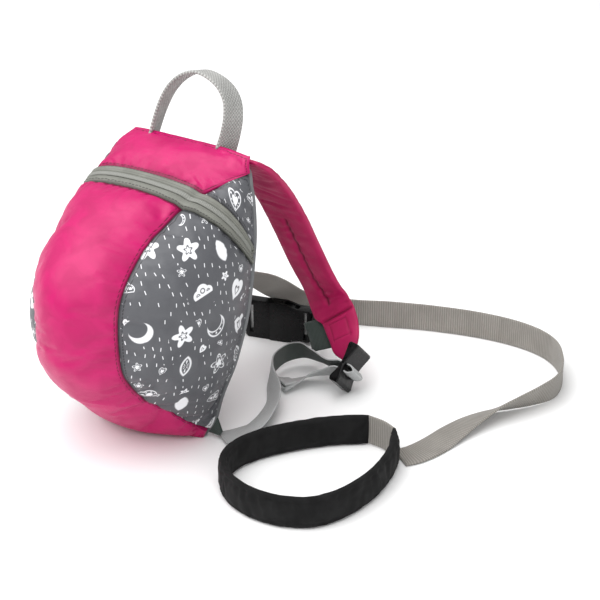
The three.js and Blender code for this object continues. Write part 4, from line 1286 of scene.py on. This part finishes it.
def addStraps():
    s = strapSet
    section = padSection(s["sides"], s["roundness"])
    alongs = lengthsAlong(strapFrames)
    for name, side, tuck in (("right", 1, s["rightTuck"]), ("left", -1, s["leftTuck"])):
        rings, marks = [], []
        for (at, across, out, t), along in zip(strapFrames, alongs):
            width, thickness = strapWidthAt(t) * s["width"], strapThicknessAt(t) * s["thickness"]
            outer = 1 - tuck * (1 - smoothStep(t, 0.0, s["rootReach"]))
            waist = smoothStep(t, 0.7, strapTab["share"] + 0.01) * (1 - smoothStep(t, 0.88, 0.97))
            inner = 1 - strapTab["narrow"] * waist
            ring = []
            for u, v in section:
                x = u * width
                sink, mark = strapSink(t, along, alongs[-1], x, width / 2 - abs(x), abs(v) * 2, side)
                place = at + across * x * (outer if x > 0 else inner)
                place += out * (v * thickness - math.copysign(sink, v))
                ring.append((place, x + backFaceAt * (v > 0)))
                marks.append(mark)
            rings.append(ring)
        strap = loftPiece(f"shoulderStrap_{name}", rings, alongs, strapCloth,
                          [f"shoulder_strap_{name}"], side, marks)


# Locks, webbing and tabs
lockSet = {"length": 36.0, "side": 3.0, "flare": 8.0, "slot": 3.0, "bar": 3.0, "clearance": 0.6,
           "tipShare": 0.19, "asideShare": 0.3, "along": (-0.14, -0.7, -0.7), "across": (0, -0.7, 0.7),
           "rounding": 0.8, "soften": 16}
webSet = {"width": 20.0, "thickness": 1.5, "swing": 60.0, "tailSwing": 25.0, "tailLength": 48.0, "hem": 9.0,
          "hemSteps": 22, "hemFrom": 1.6, "hemOpen": 3.4, "hemThick": 1.3, "hemFold": 1.6, "lockReach": 6.0,
          "lockRise": 4.0, "steps": 420}
lockAlong = Vector(lockSet["along"]).normalized()
lockAcross = Vector(lockSet["across"]).normalized()
lockOut = lockAcross.cross(lockAlong).normalized()
lockWidth = webSet["width"] + 2 * lockSet["clearance"] + 2 * lockSet["side"]
lockCentre = strapTip + lockAlong * lockSet["length"] * lockSet["tipShare"]
lockCentre += lockAcross * lockWidth * lockSet["asideShare"] + lockOut * (lockSet["flare"] + gap)
slotIn = lockSet["slot"] / 2 - lockSet["bar"] / 2
slotOut = slotIn + lockSet["slot"] + lockSet["bar"]
tabSet = {"rise": 4.0, "height": 15.0, "reach": 11.0, "thickness": 2.4, "rootRise": 9.5, "rootIn": 1.5,
          "tipHeight": 5.0, "tipLift": 0.75, "steps": 16}
tabMiddle = bagSet["padThickness"] - bagSet["padEdge"] / 2


def edgeAt(rise):
    return halfWidthAt(rise / bagSet["height"]) + gap


def tabTip():
    return bagToWorld(edgeAt(tabSet["rise"]) + tabSet["reach"], tabSet["rise"], tabMiddle)


webbingRoute = [
    (0.0, 0.0, 0.12, 88), (0.09, 0.05, 0.14, 84), (0.19, 0.11, 0.3, 72), (0.31, 0.015, 0.42, 58),
    (0.44, -0.18, 0.48, 46), (0.52, -0.36, 0.52, 34), (0.64, -0.78, 0.56, 12), (0.745, -1.0, 0.6, 5),
    (0.88, -1.08, 0.72, 12), (0.965, -0.97, 0.82, 24), (0.975, -0.66, 0.92, 36), (0.97, -0.28, 1.0, 43),
]
tailRoute = [(0.34, -0.06, 0.75, 48), (0.58, 0.06, 0.55, 54), (0.77, 0.3, 0.35, 62), (0.9, 0.66, 0.25, 74),
             (1.0, 1.0, 0.2, 86)]


def besideWay(start, end, row, length, swing):
    along, aside, rise, _ = row
    way = Vector((end.x - start.x, end.y - start.y, 0)).normalized()
    point = Vector((start.x, start.y, 0)) + way * along * length + Vector((way.y, -way.x, 0)) * aside * swing
    point.z = rise * webSet["width"]
    return point


def webbingFrames():
    s = webSet
    start = tabTip()
    start.x += gap + 1
    inside = lockCentre + lockAlong * slotIn
    outside = lockCentre + lockAlong * slotOut
    length = math.hypot(inside.x - start.x, inside.y - start.y)
    rows = [besideWay(start, inside, row, length, s["swing"]) for row in webbingRoute]
    away = s["lockReach"]
    top = inside.lerp(outside, 0.5) + lockOut * (away + s["lockRise"])
    loop = [inside - lockOut * away, inside, inside + lockOut * away, top,
            outside + lockOut * away, outside, outside - lockOut * away]
    tailEnd = outside + Vector((-s["tailLength"], 0, 0))
    tail = [besideWay(outside, tailEnd, row, s["tailLength"], -s["tailSwing"]) for row in tailRoute]
    sides = leaningSides(rows, [row[3] for row in webbingRoute]) + [lockAcross] * len(loop)
    sides += leaningSides(tail, [-row[3] for row in tailRoute])
    return stripFrames(rows + loop + tail, sides, s["steps"])


def addWebbing():
    s = webSet
    frames = webbingFrames()
    hemAt = lambda total: total - s["hem"]
    thicken = lambda along, total: 1 + s["hemFold"] * smoothStep(along, hemAt(total) - 0.6, hemAt(total))
    folded = {"width": s["width"], "thickness": s["thickness"] * s["hemThick"]}
    hem = []
    for i, (at, across, out, t) in enumerate(frames[-s["hemSteps"]:]):
        away = s["hemFrom"] + s["hemOpen"] * (i / s["hemSteps"]) ** 1.5
        hem.append((at + out * away, across, out, t))
    for name, side in (("right", 1), ("left", -1)):
        bandPiece(f"strapWebbing_{name}", frames, s, paleWebbing, f"strap_webbing_{name}",
                  side, thicken)
        bandPiece(f"webbingHem_{name}", hem, folded, paleWebbing, side=side)


def addCornerTabs():
    s = tabSet
    inner = bagToWorld(edgeAt(s["rootRise"]) - s["rootIn"], s["rootRise"], tabMiddle)
    outer = bagToWorld(edgeAt(s["rise"]) + s["reach"], s["rise"] + s["tipLift"], tabMiddle)
    frames = stripFrames([inner, inner.lerp(outer, 0.5), outer], [bagWay(0, 1, 0)] * 3, s["steps"])
    alongs = lengthsAlong(frames)
    for name, side in (("right", 1), ("left", -1)):
        rings = []
        for at, across, out, t in frames:
            section = bandSection(mix(s["height"] + 1, s["tipHeight"], t), s["thickness"])
            rings.append([(at + across * u + out * v, u) for u, v in section])
        loftPiece(f"cornerTab_{name}", rings, alongs, darkWebbing,
                  [f"corner_tab_{name}"], side)


# Moulded pieces start from the CAD solids, merged, with their edges rounded.
mouldSet = {"merge": 0.00002, "flat": 1, "sharp": 28, "segments": 3, "finer": 2, "smooth": 35}


def mouldedCopy(name, node, width, soften=0):
    s = mouldSet
    source = bpy.data.objects[node]
    piece = bpy.data.objects.new(name, source.data.copy())
    bpy.context.scene.collection.objects.link(piece)
    bpy.ops.object.select_all(action="DESELECT")
    piece.select_set(True)
    bpy.context.view_layer.objects.active = piece
    bpy.ops.object.mode_set(mode="EDIT")
    bpy.ops.mesh.select_all(action="SELECT")
    bpy.ops.mesh.remove_doubles(threshold=s["merge"])
    bpy.ops.mesh.dissolve_limited(angle_limit=math.radians(s["flat"]))
    bpy.ops.object.mode_set(mode="OBJECT")
    rounding = piece.modifiers.new("roundedEdges", "BEVEL")
    rounding.width = width * mm
    rounding.segments = s["segments"]
    rounding.limit_method = "ANGLE"
    rounding.angle_limit = math.radians(s["sharp"])
    bpy.ops.object.modifier_apply(modifier=rounding.name)
    if soften:
        finer = piece.modifiers.new("finer", "SUBSURF")
        finer.subdivision_type = "SIMPLE"
        finer.levels = finer.render_levels = s["finer"]
        bpy.ops.object.modifier_apply(modifier=finer.name)
        rounder = piece.modifiers.new("rounder", "SMOOTH")
        rounder.iterations = soften
        bpy.ops.object.modifier_apply(modifier=rounder.name)
    piece.data.materials.clear()
    piece.data.materials.append(blackPlastic)
    settle(piece, [node])
    smoothByAngle(piece, s["smooth"])


# Chest strap
chestSet = {"width": 25.0, "thickness": 1.6, "ease": 0.9, "turn": math.radians(16), "centre": (8.0, 172.5),
            "buckleWidth": 36.0, "female": 38.0, "male": 22.0, "steps": 90, "straight": 8.0,
            "slackShare": 0.55, "slack": (0, 3, -2), "strapSteps": 30, "femaleRounding": 1.1,
            "maleRounding": 0.7}
chestSeats = [(24, 0.74), (25, 0.22)]  # places down the strap, and across it as shares of its width


def buckleMatrix():
    s = chestSet
    c, n = math.cos(s["turn"]), math.sin(s["turn"])
    matrix = Matrix(((c, 0, n), (n, 0, -c), (0, 1, 0))).to_4x4()
    matrix.translation = Vector((s["centre"][0], s["centre"][1], s["buckleWidth"] / 2))
    return matrix


def chestFrames(side):
    s = chestSet
    seats = []
    coarse = stripFrames(strapRoute, [Vector((1, 0, 0))] * len(strapRoute), s["strapSteps"])
    for step, aside in chestSeats:
        at, across, out, t = coarse[step]
        away = -(strapThicknessAt(t) * strapSet["thickness"] + s["thickness"]) / 2 - s["ease"]
        place = at - across * aside * strapSet["width"] + out * away
        seats.append((mirrored(place, side), mirrored((coarse[step - 1][0] - at).normalized(), side)))
    reach = side * (s["female"] + s["male"]) / 2
    matrix = buckleMatrix()
    start = matrix @ Vector((reach + side * gap, 0, 0))
    out = matrix @ Vector((reach + side * s["straight"], 0, 0))
    between = out.lerp(seats[0][0], s["slackShare"]) + Vector(s["slack"])
    route = [start, out, between, seats[0][0], seats[1][0]]
    return stripFrames(route, [upright, upright, upright, seats[0][1], seats[1][1]], s["steps"])


def addChestStrap():
    mouldedCopy("buckleFemale", "buckle_female", chestSet["femaleRounding"])
    mouldedCopy("buckleMale", "buckle_male", chestSet["maleRounding"])
    for name, side in (("right", 1), ("left", -1)):
        bandPiece(f"chestWebbing_{name}", chestFrames(side), chestSet, darkWebbing,
                  f"chest_web_{name}")


# Stitches, each a tapered thread lying along a line on the cloth.
threadSet = {"long": 2.4, "skip": 1.1, "wide": 0.55, "high": 0.396, "sides": 6}
threadSections = [(0.0, 0.35), (0.2, 1.0), (0.8, 1.0), (1.0, 0.35)]  # share of the length, share of the width


def threadPiece(name, corners, out, material):
    s = threadSet
    points, faces, count = [], [], s["sides"]
    for start, end in corners:
        way = (end - start).normalized()
        across = way.cross(out).normalized()
        stitches = math.ceil(((end - start).length - s["long"]) / (s["long"] + s["skip"]))
        for i in range(stitches):
            base = len(points)
            for share, size in threadSections:
                middle = start + way * (i * (s["long"] + s["skip"]) + s["long"] * share)
                for k in range(count):
                    angle = tau * k / count
                    reach = across * math.cos(angle) * s["wide"] / 2 + out * math.sin(angle) * s["high"] / 2
                    points.append(middle + reach * size)
            for ring in range(base, len(points) - count, count):
                for k in range(count):
                    a, b = ring + k, ring + (k + 1) % count
                    faces.append((a, b, b + count, a + count))
            faces.append(tuple(reversed(range(base, base + count))))
            faces.append(tuple(range(len(points) - count, len(points))))
    if volumeOf(points, faces) < 0:
        faces = [tuple(reversed(face)) for face in faces]
    makePiece(name, points, faces, material)


# The patch that sews the leash on, with a box and a cross of stitches
patchSet = {"width": 38.0, "height": 44.0, "thickness": 2.0, "share": 0.67, "boxHalfWidth": 15.0,
            "boxHalfHeight": 18.0, "stitchLift": 0.05, "steps": 30}


def addLeashPatch():
    s = patchSet
    middle = bagToWorld(0, s["share"] * bagSet["height"], -bagSet["padCrown"] - gap - s["thickness"] / 2)
    up, out = bagWay(0, 1, 0), bagWay(0, 0, -1)
    level = Vector((1, 0, 0))
    route = [middle + up * s["height"] * share for share in (-0.5, 0, 0.5)]
    frames = stripFrames(route, [level] * 3, s["steps"])
    bandPiece("leashPatch", frames, s, greyWebbing, "leash_patch")
    lift = out * (s["thickness"] / 2 + s["stitchLift"])
    ways = ((-1, -1), (1, -1), (1, 1), (-1, 1))
    corners = [middle + level * a * s["boxHalfWidth"] + up * b * s["boxHalfHeight"] + lift for a, b in ways]
    box = list(zip(corners, corners[1:] + corners[:1]))
    cross = [(corners[0], corners[2]), (corners[1], corners[3])]
    threadPiece("patchStitches", box + cross, out, paleThread)


# Zip coil and slider
coilSet = {"width": 4.4, "thickness": 1.5, "pitch": 1.5, "steps": 120, "endShare": 1 / 12, "slim": 0.74,
           "sliderTurn": 0.955}
coilSection = [(-0.5, 0), (0.5, 0), (0.5, 0.45), (0.3, 0.95), (0.06, 0.8), (-0.06, 0.8), (-0.3, 0.95),
               (-0.5, 0.45)]


def coilFrame(turn, lift=0.0):
    line = lambda up: turn
    low, high = zipLow(line, gap / 2), zipHigh(line, -gap / 2)
    up = (low + high) / 2
    surface = skinPoint(up, turn, 0)[0]
    middle = skinPoint(up, turn, -gap - lift)[0]
    across = (skinPoint(high, turn, 0)[0] - skinPoint(low, turn, 0)[0]).normalized()
    return middle, across, (middle - surface).normalized()


def addZipCoil():
    s = coilSet
    first, last = s["endShare"], 1 - s["endShare"]
    coarse = [coilFrame(math.pi * crowd(mix(first, last, i / s["steps"]))) for i in range(s["steps"] + 1)]
    spot = [curveThrough([row[k] for row in coarse]) for k in range(3)]
    total = sum((b[0] - a[0]).length for a, b in zip(coarse, coarse[1:]))
    teeth = int(total / s["pitch"])
    rings, alongs = [], []
    for i in range(teeth * 4 + 1):
        t = i / (teeth * 4)
        middle, across, out = (curve(t) for curve in spot)
        size = 1.0 if i % 4 in (1, 2) else s["slim"]
        wide, high = s["width"] * (0.9 + 0.1 * size), s["thickness"] * size
        rings.append([(middle + across * x * wide + out * y * high, x * s["width"]) for x, y in coilSection])
        alongs.append(t * total)
    loftPiece("zipCoil", rings, alongs, coilPlastic, ["zip_coil"])


sliderSet = {"body": (13, 9, 4), "edge": 0.9, "ringRadius": 3.4, "ringWire": 0.7, "ringAt": (0, -5.5, 1.9),
             "puller": (5.5, 14, 1.6), "pullerAt": (0, -15, 1.4), "pullerEdge": 0.5}


def addZipSlider():
    s = sliderSet
    middle, across, out = coilFrame(math.pi * coilSet["sliderTurn"], coilSet["thickness"] + gap)
    basis = Matrix((across.cross(out), across, out)).transposed().to_4x4()
    basis.translation = middle + out * (s["body"][2] / 2 + gap)
    bpy.ops.mesh.primitive_cube_add(size=1)
    body = bpy.context.active_object
    body.name = "zipSlider"
    body.scale = s["body"]
    bpy.ops.object.transform_apply(location=False, rotation=False, scale=True)
    bpy.ops.object.mode_set(mode="EDIT")
    bpy.ops.mesh.select_all(action="SELECT")
    bpy.ops.mesh.bevel(offset=s["edge"], segments=3)
    bpy.ops.mesh.primitive_torus_add(major_radius=s["ringRadius"], minor_radius=s["ringWire"],
                                     major_segments=28, minor_segments=8, location=s["ringAt"])
    bpy.ops.mesh.primitive_cube_add(size=1, location=s["pullerAt"])
    bpy.ops.transform.resize(value=s["puller"])
    bpy.ops.mesh.bevel(offset=s["pullerEdge"], segments=2)
    bpy.ops.object.mode_set(mode="OBJECT")
    body.data.transform(Matrix.Scale(mm, 4) @ basis)
    body.data.materials.append(blackPlastic)
    settle(body, ["zip_slider"])
    smoothByAngle(body, mouldSet["smooth"])


addBackPanel()
addHandle()
addStraps()
print("back, handle and straps done")
addZipCoil()
addZipSlider()
print("zip done")
addWebbing()
addCornerTabs()
for name in ("right", "left"):
    mouldedCopy(f"ladderLock_{name}", f"ladder_lock_{name}", lockSet["rounding"], lockSet["soften"])
addChestStrap()
addLeashPatch()
print("webbing and buckles done")


# Floor and light
stageSet = {"floor": 60.0, "floorAt": -0.0003, "tone": 0.9, "sky": 0.5, "aim": (0.05, 0.05, 0.08)}
stageLights = [
    {"name": "keyLight", "place": (-0.35, -0.55, 1.75), "size": 2.6, "power": 66.0},
    {"name": "fillLight", "place": (1.7, -1.3, 1.0), "size": 2.0, "power": 15.0},
]


def addStage(s):
    bpy.ops.mesh.primitive_plane_add(size=s["floor"], location=(0, 0, s["floorAt"]))
    floor = bpy.context.active_object
    floor.name = "floor"
    material, tree, shader = startMaterial("paleFloor")
    setShader(shader, {"Base Color": (*[s["tone"]] * 3, 1), "Roughness": 0.9, "Specular IOR Level": 0.1})
    floor.data.materials.append(material)
    for row in stageLights:
        data = bpy.data.lights.new(row["name"], "AREA")
        data.shape = "SQUARE"
        data.size = row["size"]
        data.energy = row["power"]
        holder = bpy.data.objects.new(row["name"], data)
        bpy.context.scene.collection.objects.link(holder)
        holder.location = row["place"]
        holder.rotation_euler = (Vector(s["aim"]) - Vector(row["place"])).to_track_quat("-Z", "Y").to_euler()
    world = bpy.data.worlds.new("paleStudio")
    bpy.context.scene.world = world
    world.use_nodes = True
    sky = world.node_tree.nodes["Background"]
    sky.inputs["Color"].default_value = (1, 1, 1, 1)
    sky.inputs["Strength"].default_value = s["sky"]
    bpy.context.scene.view_settings.view_transform = "Standard"


addStage(stageSet)
print("stage done")
